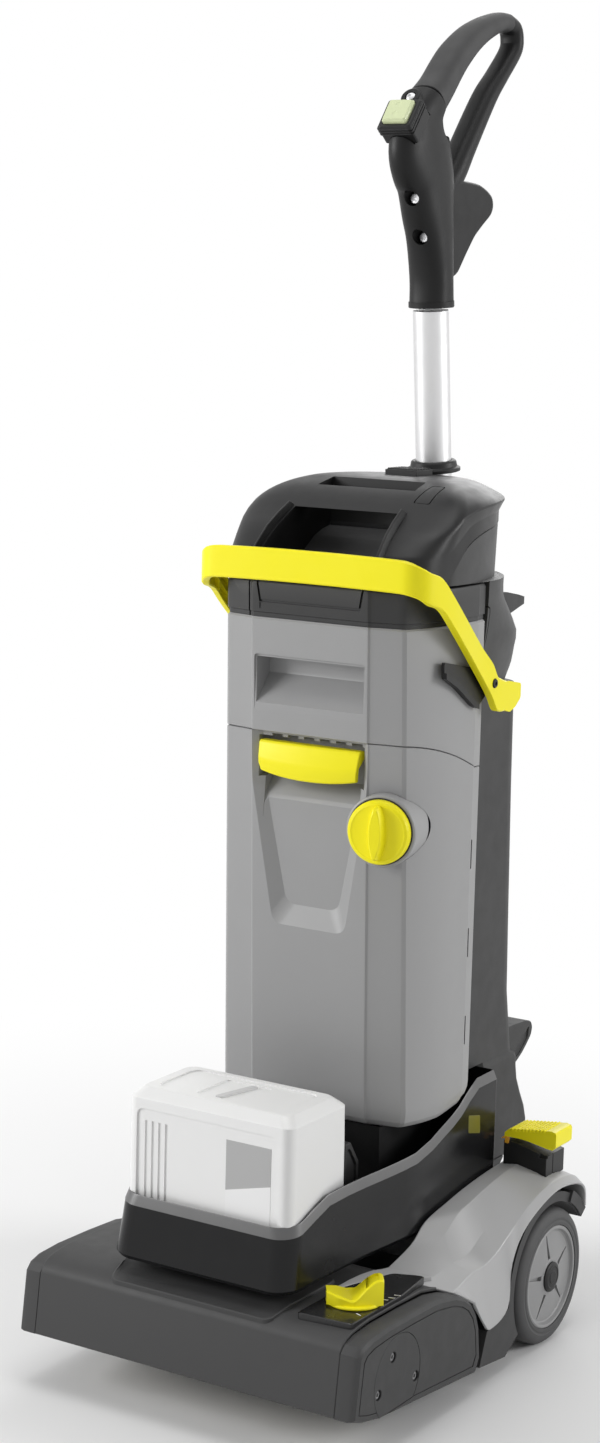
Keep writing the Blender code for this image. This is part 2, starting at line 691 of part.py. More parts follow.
def suction_motor():
    """The suction turbine in the column."""
    bm = bmesh.new()
    turned(bm, [(0, 0.380), (0.030, 0.380), (0.046, 0.388), (0.046, 0.425), (0.034, 0.432),
                (0.034, 0.470), (0.028, 0.476), (0, 0.476)], (0, 0.103, 0), "Z", 20)
    return finish("suction_motor", bm, "steel", "tower_tilt", 40)


def dome_ring(z, half, front, rear, centre, back_power=1.0, count=40):
    """Plan ring of the top: boxy towards the front, and boxy or round towards the back."""
    ring = []
    for step in range(count):
        angle = 2 * math.pi * step / count - math.pi / 2
        side, along = math.cos(angle), math.sin(angle)
        power = 0.42 if along < 0 else back_power
        reach = centre - front if along < 0 else rear - centre
        x = half * math.copysign(abs(side) ** power, side)
        y = centre + reach * math.copysign(abs(along) ** power, along)
        height = z(y) if callable(z) else z
        ring.append((x, y, height))
    return ring


SEAM = [(-0.083, 0.6912), (-0.036, 0.6930), (-0.003, 0.7210), (0.030, 0.7325), (0.0825, 0.7370),
        (0.150, 0.7385)]


def seam_height(y):
    """Height of the curved joint line between the dome and the housing behind it."""
    return between(y, SEAM)


def top_housing():
    """The housing on top of the column: shoulders, hook ledge and the bed of the dome."""
    rings = [shoulder_ring(0.5903, 0.0800, 0.162, 0.5), shoulder_ring(0.610, 0.0900, 0.162, 0.55),
             shoulder_ring(0.640, 0.1000, 0.160, 0.65), shoulder_ring(0.668, 0.1020, 0.151, 0.95),
             shoulder_ring(0.6905, 0.1025, 0.148, 1.0),
             dome_ring(0.6912, 0.1025, -0.0360, 0.1505, 0.0),
             dome_ring(lambda y: max(seam_height(y) - GAP, 0.6920), 0.1035, -0.0362, 0.1535, 0.0)]
    bm = bmesh.new()
    loft(bm, rings, across=True)
    housing = finish("top_housing", bm, "dark_shell", "tower_tilt", 35)
    hook = bmesh.new()
    loft(hook, [[(-0.050, 0.140, 0.636), (0.050, 0.140, 0.636), (0.050, 0.140, 0.669),
                 (-0.050, 0.140, 0.669)],
                [(-0.054, 0.170, 0.645), (0.054, 0.170, 0.645), (0.054, 0.170, 0.6665),
                 (-0.054, 0.170, 0.6665)],
                [(-0.054, 0.2045, 0.6530), (0.054, 0.2045, 0.6530), (0.054, 0.2045, 0.6600),
                 (-0.054, 0.2045, 0.6600)]])
    boolean(housing, add_cutter("hook_ledge", hook), "UNION")
    hollow = bmesh.new()
    prism_z(hollow, mirror_outline([(0.0, 0.052), (0.070, 0.052), (0.070, 0.110), (0.045, 0.140),
                                    (0.0, 0.140)]), 0.570, 0.7300)
    boolean(housing, add_cutter("housing_hollow", hollow))
    boolean(housing, pole_bore("housing_pole_bore"))
    return housing


def shoulder_ring(z, half, rear, back_power):
    """Plan ring of the housing behind the tanks, with a flat front."""
    return dome_ring(z, half, 0.0435, rear, 0.0435, back_power)


def pole_point(z):
    """The pole's axis at a height."""
    return Vector((0.0, POLE_BASE.y - POLE_LEAN * (z - POLE_BASE.z), z))


def pole_axis():
    """Direction of the pole, upwards."""
    return (pole_point(1.0) - pole_point(0.0)).normalized()


def pole_bore(name):
    """Cutter for the bore that the pole slides in."""
    bm = bmesh.new()
    turned(bm, [(0, -0.2), (POLE_RADIUS + GAP, -0.2), (POLE_RADIUS + GAP, 0.1), (0, 0.1)],
           pole_point(0.75), pole_axis(), 24)
    return add_cutter(name, bm)


DOME_SECTIONS = [(0.7145, 0.1040, -0.074, 0.1535, 0.000), (0.7280, 0.1060, -0.060, 0.1555, 0.005),
                 (0.7385, 0.1065, -0.045, 0.1565, 0.010), (0.7510, 0.0980, -0.020, 0.1420, 0.020),
                 (0.7610, 0.0880, 0.002, 0.1290, 0.030), (0.7670, 0.0800, 0.017, 0.1195, 0.040),
                 (0.7725, 0.0680, 0.030, 0.1080, 0.050), (0.7750, 0.0480, 0.045, 0.0900, 0.060)]


def carry_dome():
    """The domed top with its carry bar: the hand goes in below and behind the bar."""
    base = dome_ring(seam_height, 0.1035, -0.083, 0.1535, 0.0)
    rings = [base]
    for z, half, front, rear, centre in DOME_SECTIONS:
        rings.append(dome_ring(lambda y, z=z: max(z, seam_height(y) + 0.0015), half, front, rear,
                               centre))
    bm = bmesh.new()
    loft(bm, rings, across=True)
    dome = finish("carry_dome", bm, "black_plastic", "tower_tilt", 35)
    hand = bmesh.new()
    prism_x(hand, [(-0.110, 0.7050), (-0.012, 0.7050), (0.018, 0.7250), (0.0235, 0.8200),
                   (0.0150, 0.8200), (0.0140, 0.7520), (-0.0340, 0.7380), (-0.0400, 0.7430),
                   (-0.0410, 0.8200), (-0.110, 0.8200)], -0.055, 0.055)
    boolean(dome, add_cutter("carry_recess", hand))
    for word, low, high in (("left", -0.093, -0.063), ("right", 0.063, 0.093)):
        hollow = bmesh.new()
        box(hollow, (low, -0.052, 0.680), (high, 0.030, 0.726))
        boolean(dome, add_cutter("dome_hollow_" + word, hollow))
    rear = bmesh.new()
    box(rear, (-0.070, 0.040, 0.720), (0.070, 0.104, 0.757))
    boolean(dome, add_cutter("dome_hollow_rear", rear))
    pocket = bmesh.new()
    box(pocket, (-0.0165, 0.0615, 0.7640), (0.0165, 0.0915, 0.7900))
    boolean(dome, add_cutter("button_pocket", pocket))
    boolean(dome, pole_bore("dome_pole_bore"))
    return dome


def pole_collar():
    """The black collar round the foot of the pole."""
    bm = bmesh.new()
    turned(bm, [(POLE_RADIUS + GAP, 0.0), (0.0205, 0.0), (0.0200, 0.0085),
                (POLE_RADIUS + GAP, 0.0085)], pole_point(0.7775), pole_axis(), 24)
    return finish("pole_collar", bm, "black_plastic", "tower_tilt", 40)


def pole_button():
    """The press button that frees the pole."""
    bm = bmesh.new()
    box(bm, (-0.0160, 0.0620, 0.7685), (0.0160, 0.0910, 0.7810))
    return finish("pole_button", bm, "black_plastic", "pole_button_press")


# ---------------------------------------------------------------- tanks
def tank_front(z):
    """Y of the tank's flat front at a height."""
    return -0.0670 - TANK_LEAN * (z - 0.239)


def tank_plan(z, inset=0.0, front_inset=None):
    """Plan outline of the tanks at a height: flat front, cut corners and bowed sides."""
    deep = inset if front_inset is None else front_inset
    front = tank_front(z) + deep
    corner = 0.0925 - 0.009 * (z - 0.239) - inset
    side = TANK_HALF - inset
    points = [(0.0, front), (0.059 - inset * 0.3, front), (corner, front + 0.006)]
    begin = front + 0.006
    for step in range(1, 5):
        part = step / 4
        y = begin + (0.004 - begin) * part
        points.append((side - (side - corner) * (1 - part) ** 2, y))
    points += [(side - 0.0005, 0.024), (side - 0.004, TANK_REAR - inset),
               (0.0, TANK_REAR - inset)]
    return mirror_outline(points)


def seam_drop(y):
    """How far the joint between the tanks falls towards the back."""
    part = min(1.0, max(0.0, (y + 0.075) / 0.105))
    return 0.030 * part ** 1.6


def tank_bottom(y, base):
    """Height of the slightly raised tail of the tank's bottom."""
    return base + 0.13 * max(0.0, y + 0.010)


def lower_tank():
    """The clean-water tank: a hollow body, open at the joint with the upper tank."""
    top = 0.5590
    def at(z, inset, front=None):
        return [(x, y, z) for x, y in tank_plan(z, inset, front)]
    def bottom(z, inset, front=None):
        return [(x, y, tank_bottom(y, z)) for x, y in tank_plan(z, inset, front)]
    def joint(inset, front=None):
        return [(x, y, top - seam_drop(y)) for x, y in tank_plan(top, inset, front)]
    rings = [bottom(TANK_LOW, 0.010), bottom(TANK_LOW + 0.008, 0.002), bottom(TANK_LOW + 0.018, 0.0),
             at(0.400, 0.0), joint(0.0), joint(0.004, 0.034), at(0.495, 0.004, 0.034),
             at(0.480, 0.003), bottom(TANK_LOW + 0.016, 0.005), bottom(TANK_LOW + 0.004, 0.012)]
    bm = bmesh.new()
    loft(bm, rings, across=True)
    tank = finish("lower_tank", bm, "tank_grey", "tank_slide", 30)
    recess = bmesh.new()
    prism_x(recess, [(-0.110, 0.5070), (-0.0640, 0.5200), (-0.0560, 0.5290), (-0.0560, 0.5545),
                     (-0.110, 0.5545)], -0.053, 0.053)
    boolean(tank, add_cutter("latch_recess", recess))
    hole = bmesh.new()
    turned(hole, [(0, -0.060), (0.0313, -0.060), (0.0313, 0.030), (0, 0.030)], CAP_CENTRE,
           cap_axis(), 24)
    boolean(tank, add_cutter("neck_hole", hole))
    return tank


def cap_axis():
    """Outward direction of the filler cap."""
    return Vector((math.sin(CAP_AZIMUTH), -math.cos(CAP_AZIMUTH), 0.0))


def filler_neck():
    """The round neck that the cap screws into, set in the tank's corner."""
    bm = bmesh.new()
    turned(bm, [(0.0220, -0.030), (0.0310, -0.030), (0.0310, 0.0060), (0.0220, 0.0060)],
           CAP_CENTRE, cap_axis(), 24)
    return finish("filler_neck", bm, "tank_grey", "tank_slide", 40)


def filler_cap():
    """The twist cap: a plug, a flange and a raised grip bar."""
    bm = bmesh.new()
    turned(bm, [(0, -0.012), (0.0215, -0.012), (0.0215, 0.0064), (0.0285, 0.0064),
                (0.0285, 0.0115), (0.0265, 0.0140), (0, 0.0140)], CAP_CENTRE, cap_axis(), 24)
    cap = finish("filler_cap", bm, "yellow", "cap_twist", 40)
    bar = bmesh.new()
    outward = cap_axis()
    across = outward.cross(Vector((0, 0, 1)))
    def spot(sideways, out, up):
        return CAP_CENTRE + across * sideways + outward * out + Vector((0, 0, up))
    loft(bar, [[spot(s, 0.013, u) for s, u in ((-0.0075, -0.024), (0.0075, -0.024),
                                               (0.0075, 0.024), (-0.0075, 0.024))],
               [spot(s, 0.0225, u) for s, u in ((-0.0050, -0.021), (0.0050, -0.021),
                                                (0.0050, 0.021), (-0.0050, 0.021))]])
    boolean(cap, add_cutter("cap_grip_bar", bar), "UNION")
    return cap


def tank_latch():
    """The curved pull latch at the top of the lower tank."""
    y, z = LATCH_PIVOT
    rings = []
    for part in (-1.0, -0.6, -0.2, 0.2, 0.6, 1.0):
        drop = 0.0285 - 0.004 * part * part
        half = 0.0505 * part
        bow = 0.003 * (1 - part * part)
        rings.append([(half, y + 0.0045, z + 0.003), (half, y - 0.0045 - bow, z + 0.003),
                      (half * 0.98, y - 0.0075 - bow, z - drop * 0.5),
                      (half * 0.94, y - 0.0045 - bow, z - drop),
                      (half * 0.94, y - 0.0005 - bow, z - drop),
                      (half * 0.98, y - 0.0030 - bow, z - drop * 0.5),
                      (half, y + 0.0045, z - 0.004)])
    bm = bmesh.new()
    loft(bm, rings)
    return finish("tank_latch", bm, "yellow", "latch_pull", 30)


def upper_tank():
    """The waste-water tank: a hollow body, open at its top under the lid."""
    low = 0.5590 + GAP * 2
    def at(z, inset, front=None):
        return [(x, y, z) for x, y in tank_plan(z, inset, front)]
    def joint(inset, lift):
        return [(x, y, low + lift - seam_drop(y)) for x, y in tank_plan(low, inset, inset)]
    rings = [joint(0.0, 0.0), at(0.600, 0.0), at(TANK_TOP, 0.0), at(TANK_TOP, 0.0035, 0.030),
             at(0.568, 0.0035, 0.030)]
    bm = bmesh.new()
    loft(bm, rings, across=True)
    tank = finish("upper_tank", bm, "tank_grey", "tank_slide", 30)
    recess = bmesh.new()
    prism_x(recess, [(-0.110, 0.5780), (-0.0820, 0.5860), (-0.0600, 0.6060), (-0.0600, 0.6240),
                     (-0.110, 0.6240)], -0.054, 0.054)
    boolean(tank, add_cutter("hand_recess", recess))
    return tank


def tank_lid():
    """The black lid band on the upper tank, with the trapezoid tongue in its front."""
    def at(z, inset):
        return [(x, y, z) for x, y in tank_plan(z, inset)]
    rings = [at(0.6860, 0.006), at(TANK_TOP + GAP, 0.006), at(TANK_TOP + GAP, 0.0),
             at(0.6870, 0.0), at(LID_TOP, 0.003)]
    bm = bmesh.new()
    loft(bm, rings)
    lid = finish("tank_lid", bm, "black_plastic", "tank_slide", 30)
    groove = bmesh.new()
    prism_y(groove, [(-0.052, 0.700), (-0.0485, 0.6735), (0.0485, 0.6735), (0.052, 0.700),
                     (0.0540, 0.700), (0.0500, 0.6712), (-0.0500, 0.6712), (-0.0540, 0.700)],
            -0.095, tank_front(0.68) + 0.0018)
    boolean(lid, add_cutter("tongue_groove", groove))
    return lid


def tank_bracket(side, name):
    """The dark bracket on the side of the upper tank that carries the bail."""
    bm = bmesh.new()
    outline = [(-0.026, 0.6135), (-0.020, 0.6270), (0.004, 0.6225), (0.034, 0.6150),
               (0.043, 0.6040), (0.034, 0.5930), (0.020, 0.5830)]
    ends = sorted((side * (TANK_HALF + GAP), side * 0.1090))
    prism_x(bm, outline, ends[0], ends[1])
    bracket = finish(name, bm, "dark_shell", "tank_slide")
    screw = bmesh.new()
    turned(screw, [(0, side * 0.1070), (0.0040, side * 0.1070), (0.0040, side * 0.1168),
                   (0.0068, side * 0.1168), (0.0060, side * 0.1188), (0, side * 0.1190)],
           (0, *BAIL_PIVOT), "X", SMALL_ROUND)
    boolean(bracket, add_cutter(name + "_screw", screw), "UNION")
    return bracket


def bail_path():
    """Stations of the bail's strap from the right thumb tab to the middle of the bar.

    Each is x, y, centre height, half height and the plan direction of the strap's thickness.
    """
    y0, z0 = BAIL_PIVOT
    y1, z1 = BAIL_BAR
    slope = (z1 - 0.002 - z0) / (-0.078 - y0)
    rows = []
    for x, y, half in ((BAIL_ARM_X, 0.0830, 0.0080), (BAIL_ARM_X, 0.0800, 0.0100),
                       (BAIL_ARM_X, 0.0600, 0.0135), (BAIL_ARM_X, 0.0430, 0.0150),
                       (BAIL_ARM_X, 0.0300, 0.0150), (BAIL_ARM_X, 0.0100, 0.0130),
                       (0.1145, -0.020, 0.0130), (0.1150, -0.0450, 0.0130),
                       (0.1140, -0.0620, 0.0133)):
        height = z0 + slope * (y - y0)
        if y > 0.031:
            height = between(y, [(0.031, z0), (0.043, 0.5905), (0.060, 0.5905), (0.083, 0.5890)])
        rows.append((x, y, height, half))
    for angle, height in ((-20, 0.6935), (-45, 0.6985), (-70, 0.7020)):
        turn = math.radians(angle)
        x = 0.0915 + 0.0215 * math.cos(turn)
        y = -0.0690 + 0.0215 * math.sin(turn)
        rows.append((x, y, height, 0.0136))
    rows += [(0.0850, y1, z1 - 0.001, 0.0137), (0.030, y1 - 0.0005, z1, 0.0137)]
    return rows


def bail():
    """The yellow bail: a strap bent round the front of the lid, with a thumb tab at each end."""
    right = bail_path()
    stations = right + [(-x, y, z, half) for x, y, z, half in reversed(right)]
    rings = []
    for index, (x, y, z, half) in enumerate(stations):
        before = stations[max(index - 1, 0)]
        after = stations[min(index + 1, len(stations) - 1)]
        run = Vector((after[0] - before[0], after[1] - before[1])).normalized()
        nx, ny = run.y * BAIL_THICK / 2, -run.x * BAIL_THICK / 2
        rings.append([(x + nx, y + ny, z - half), (x + nx, y + ny, z + half),
                      (x - nx, y - ny, z + half), (x - nx, y - ny, z - half)])
    bm = bmesh.new()
    loft(bm, rings)
    strap = finish("bail", bm, "yellow", "bail_swing")
    bore = bmesh.new()
    cylinder(bore, (0, *BAIL_PIVOT), "X", 0.0044, -0.130, 0.130)
    boolean(strap, add_cutter("bail_bore", bore))
    return strap


# ---------------------------------------------------------------- battery and handle
def battery():
    """The slip-in battery: a rounded box with a chamfered top."""
    def ring(z, inset):
        half = BATTERY_HALF - inset
        front = BATTERY_FRONT + inset
        rear = BATTERY_REAR - inset
        radius = 0.016
        points = [(0.0, front)]
        points += arc((half - radius, front + radius), radius, -90, 0, 4)
        points += arc((half - radius, rear - radius), radius, 0, 90, 4)
        points += [(0.0, rear)]
        return [(x, y, z) for x, y in mirror_outline(points)]
    bm = bmesh.new()
    loft(bm, [ring(BATTERY_LOW, 0.003), ring(BATTERY_LOW + 0.003, 0.0), ring(0.180, 0.0),
              ring(BATTERY_TOP - 0.007, 0.001), ring(BATTERY_TOP, 0.010)])
    return finish("battery_pack", bm, "battery_white", "battery_lift", 35)


def pole():
    """The aluminium pole that the grip slides on with."""
    low = (POLE_LOW - 0.75) / pole_axis().z
    high = (POLE_HIGH - 0.75) / pole_axis().z
    bm = bmesh.new()
    turned(bm, [(0, low), (POLE_RADIUS, low), (POLE_RADIUS, high), (0, high)],
           pole_point(0.75), pole_axis(), 24)
    return finish("pole", bm, "aluminium", "handle_slide", 40)


STEM = [(0.1075, 0.9215, 0.0190, 0.0190), (0.1057, 0.9470, 0.0190, 0.0180),
        (0.1010, 0.9800, 0.0190, 0.0225), (0.0950, 1.0050, 0.0190, 0.0290),
        (0.0898, 1.0296, 0.0190, 0.0350), (0.0810, 1.0480, 0.0185, 0.0400),
        (0.0760, 1.0600, 0.0180, 0.0400), (0.0755, 1.0740, 0.0172, 0.0330),
        (0.0800, 1.0880, 0.0168, 0.0220), (0.0885, 1.0985, 0.0165, 0.0175)]
PAD = [(0.0889, 1.0990, 0.0165, 0.0165), (0.1030, 1.1110, 0.0160, 0.0150),
       (0.1190, 1.1275, 0.0155, 0.0145), (0.1340, 1.1410, 0.0150, 0.0140),
       (0.1564, 1.1560, 0.0140, 0.0125), (0.1805, 1.1674, 0.0130, 0.0107),
       (0.2088, 1.1765, 0.0120, 0.0088), (0.2245, 1.1775, 0.0115, 0.0085)]
STRUT = [(0.2249, 1.1774, 0.0112, 0.0083), (0.2360, 1.1740, 0.0112, 0.0082),
         (0.2405, 1.1650, 0.0112, 0.0082), (0.2375, 1.1530, 0.0112, 0.0082),
         (0.2137, 1.1300, 0.0115, 0.0082), (0.1908, 1.1084, 0.0120, 0.0095),
         (0.1548, 1.0640, 0.0125, 0.0110), (0.1350, 1.0380, 0.0125, 0.0120),
         (0.1080, 1.0100, 0.0110, 0.0120)]


def grip_body():
    """The handle's moulded body: stem, rear strut and the lobe behind the stem."""
    bm = bmesh.new()
    loft(bm, tube_rings(STEM, 16, follow=PAD[1]))
    body = finish("grip_body", bm, "black_plastic", "handle_slide", 50)
    strut = bmesh.new()
    loft(strut, tube_rings(STRUT, 12, lead=PAD[-2]))
    boolean(body, add_cutter("grip_strut", strut), "UNION")
    lobe = bmesh.new()
    outline = [(0.098, 1.034), (0.150, 1.033), (0.181, 1.029), (0.1985, 1.018), (0.195, 1.006),
               (0.1635, 0.985), (0.132, 0.949), (0.106, 0.943)]
    prism_x(lobe, outline, -0.0115, 0.0115)
    boolean(body, add_cutter("grip_lobe", lobe), "UNION")
    seat = bmesh.new()
    switch_block(seat, 0.0165 + GAP, -0.012, 0.030)
    boolean(body, add_cutter("boot_seat", seat))
    for index, (z, front) in enumerate(GRIP_SCREWS):
        hole = bmesh.new()
        cylinder(hole, (0.003, front, z), Vector((0, -1, 0)), 0.0056, -0.002, 0.060)
        boolean(body, add_cutter("grip_screw_hole_%d" % (index + 1), hole))
    return body


GRIP_SCREWS = ((1.0144, 0.0720), (0.9818, 0.0900))


def grip_screws():
    """The two screws in the front of the stem."""
    for index, (z, front) in enumerate(GRIP_SCREWS):
        bm = bmesh.new()
        cylinder(bm, (0.003, front, z), Vector((0, -1, 0)), 0.0050, -0.0015, 0.0015)
        finish("grip_screw_%d" % (index + 1), bm, "steel", "handle_slide", 40)


SWITCH_CENTRE = Vector((0.0, 0.0470, 1.0800))
SWITCH_TILT = math.radians(38)


def switch_axis():
    """Outward direction of the switch: forwards and up."""
    return Vector((0.0, -math.cos(SWITCH_TILT), math.sin(SWITCH_TILT)))


def switch_block(bm, half_x, low, high, half_up=0.0165):
    """A block on the switch's axis, from low to high along it."""
    outward = switch_axis()
    up = Vector((0.0, math.sin(SWITCH_TILT), math.cos(SWITCH_TILT)))
    def ring(out, wide, tall):
        corners = ((-1, -1), (1, -1), (1, 1), (-1, 1))
        return [SWITCH_CENTRE + outward * out + Vector((wide * a, 0, 0)) + up * (tall * b)
                for a, b in corners]
    loft(bm, [ring(low, half_x, half_up), ring(high, half_x, half_up)])


def grip_pad():
    """The soft grip over the front of the loop."""
    bm = bmesh.new()
    loft(bm, tube_rings(PAD, 16, lead=STEM[-2], follow=STRUT[1]))
    return finish("grip_pad", bm, "grip_grey", "handle_slide", 50)


def switch_set():
    """The rubber boot and the rocker switch in it."""
    bm = bmesh.new()
    switch_block(bm, 0.0165, -0.0115, 0.0090, 0.0162)
    boot = finish("switch_boot", bm, "rubber", "handle_slide")
    well = bmesh.new()
    switch_block(well, 0.0125, -0.002, 0.030, 0.0125)
    boolean(boot, add_cutter("boot_well", well))
    bm = bmesh.new()
    switch_block(bm, 0.0120, 0.0022, 0.0135, 0.0120)
    finish("power_switch", bm, "switch_lens", "switch_rock")


# ---------------------------------------------------------------- assembly
def make_joints():
    """Place an empty on every joint's axis."""
    joint_empty("brush_spin", (0, *BRUSH_AXIS))
    joint_empty("squeegee_lift", (0, -0.150, 0.060))
    joint_empty("pedal_press", PEDAL_PIVOT)
    joint_empty("selector_turn", SELECTOR_CENTRE)
    for side, word in ((-1, "left"), (1, "right")):
        joint_empty("wheel_%s_spin" % word, (side * WHEEL_INNER, *WHEEL_AXIS))
    joint_empty("tower_tilt", (0, *TOWER_PIVOT))
    joint_empty("tank_slide", (0, -0.02, TANK_LOW), "tower_tilt")
    joint_empty("bail_swing", (0, *BAIL_PIVOT), "tank_slide")
    joint_empty("latch_pull", (0, *LATCH_PIVOT), "tank_slide")
    joint_empty("cap_twist", CAP_CENTRE, "tank_slide")
    joint_empty("battery_lift", (0, -0.1765, BATTERY_LOW), "tower_tilt")
    joint_empty("pole_button_press", (0, 0.0765, 0.775), "tower_tilt")
    joint_empty("handle_slide", POLE_BASE, "tower_tilt")
    joint_empty("switch_rock", SWITCH_CENTRE + switch_axis() * 0.003, "handle_slide")


def build_base():
    """The pieces that stand on the floor."""
    brush_housing()
    end_cap(-1, "end_cap_left")
    right_cap_details(end_cap(1, "end_cap_right"))
    deck_panel()
    chassis()
    pivot_pin()
    axle()
    for side, word in ((-1, "left"), (1, "right")):
        wheel_arch(side, "wheel_arch_" + word)
        wheel_cover(side, "wheel_cover_" + word)
        pivot_bracket(side, "pivot_bracket_" + word)
        park_skid(side, "park_skid_" + word)
        wheel(side, word)
    brush_motor()
    brush_roller()
    squeegee()
    selector()
    pedal_set()


def build_tower():
    """The pieces that tilt: tray, battery, column, top and handle."""
    battery_tray()
    tank_seat()
    connector_block()
    rear_column()
    suction_motor()
    top_housing()
    carry_dome()
    pole_collar()
    pole_button()
    battery()
    pole()
    grip_body()
    grip_screws()
    grip_pad()
    switch_set()


def build_tanks():
    """The tanks, with their latch, cap and bail."""
    lower_tank()
    filler_neck()
    filler_cap()
    tank_latch()
    upper_tank()
    tank_lid()
    for side, word in ((-1, "left"), (1, "right")):
        tank_bracket(side, "bail_bracket_" + word)
    bail()


def main():
    """Build the whole machine."""
    clear_scene()
    make_joints()
    build_base()
    build_tower()
    build_tanks()


main()
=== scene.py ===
"""Finished look of the walk-behind floor scrubber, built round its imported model.

Every class makes one sub-assembly: it holds the sizes it is made to, builds the moulded and
turned pieces in the machine's own frame, and gives each piece its finish. The pieces' sizes are
in millimetres, which a Shape turns into metres; the finishes and the studio are in metres.
+X is the machine's right, -Y its front, +Z up, and the floor is at Z = 0.
"""
import logging
import math
from dataclasses import dataclass, field
from enum import Enum
from typing import Any, Callable, Dict, List, Optional, Sequence, Tuple

import bmesh
import bpy
from mathutils import Matrix, Vector


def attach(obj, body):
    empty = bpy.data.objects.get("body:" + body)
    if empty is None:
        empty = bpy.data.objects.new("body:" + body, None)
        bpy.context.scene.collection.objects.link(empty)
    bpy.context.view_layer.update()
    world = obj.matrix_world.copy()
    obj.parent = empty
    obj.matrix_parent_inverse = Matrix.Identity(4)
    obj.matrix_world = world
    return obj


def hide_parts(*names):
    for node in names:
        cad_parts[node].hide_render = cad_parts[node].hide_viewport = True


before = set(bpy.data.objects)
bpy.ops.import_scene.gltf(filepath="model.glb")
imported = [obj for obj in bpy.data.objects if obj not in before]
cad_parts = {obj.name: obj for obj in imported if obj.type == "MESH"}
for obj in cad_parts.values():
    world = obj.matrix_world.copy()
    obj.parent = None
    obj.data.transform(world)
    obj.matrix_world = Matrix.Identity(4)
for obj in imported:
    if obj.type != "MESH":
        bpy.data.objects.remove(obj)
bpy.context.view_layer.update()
LOG = logging.getLogger("scrubber")

Point2 = Tuple[float, float]
Point3 = Tuple[float, float, float]
Ring = List[Point3]
Table = Sequence[Tuple[float, float]]
Stations = Sequence[Tuple[float, ...]]

SIDES: Tuple[Tuple[int, str], ...] = ((-1, "left"), (1, "right"))
WHITE = (1.0, 1.0, 1.0, 1.0)
MM = 0.001
# Tolerances in metres: corners that are one, slivers left by a cut, points at one height.
MERGE, REPAIR, LEVEL = 1e-6, 0.00002, 0.00001
# A length in millimetres that counts as none.
NOTHING = 1e-9
# The steps of every rounded edge, and the kept nodes' edge width and least rounded angle.
EDGE_STEPS = 2
KEPT_EDGE, KEPT_ANGLE = 0.6, 32.0
RIGHT = (1, 0, 0)


# ------------------------------------------------------------------ node trees
class Wiring:
    """A shader node tree under construction."""

    def __init__(self, tree: bpy.types.NodeTree) -> None:
        """Hold the tree's nodes and links."""
        self.nodes, self.links = tree.nodes, tree.links

    def fill(self, node: bpy.types.Node, values: Dict[Any, Any]) -> bpy.types.Node:
        """Set a node's inputs: an output is linked, and anything else is a value."""
        for key, value in values.items():
            if isinstance(value, bpy.types.NodeSocket):
                self.links.new(value, node.inputs[key])
            else:
                node.inputs[key].default_value = value
        return node

    def add(self, kind: str, values: Optional[Dict[Any, Any]] = None, **settings: str) -> bpy.types.Node:
        """Add a shader node with its settings and its inputs."""
        node = self.nodes.new("ShaderNode" + kind)
        for key, value in settings.items():
            setattr(node, key, value)
        return self.fill(node, values or {})

    def noise(self, place: bpy.types.NodeSocket, scale: float, detail: float) -> bpy.types.NodeSocket:
        """Add a noise texture with so many cells per metre, and return its value output."""
        values = {"Scale": scale, "Detail": detail, "Vector": place}
        return self.add("TexNoise", values).outputs["Fac"]


# ------------------------------------------------------------------ finishes
class Weave(Enum):
    """How a finish's fine grain is laid."""

    SPARK = "spark-eroded mould texture"
    SMOOTH = "polished mould"
    BRUSHED = "lines along one direction"
    DIMPLED = "small round dimples"


CLOUD_CELLS, SCUFF_CELLS = 7.0, 60.0
EDGE_START, EDGE_FULL = 0.52, 0.62
BUMP_STRENGTH = 0.35


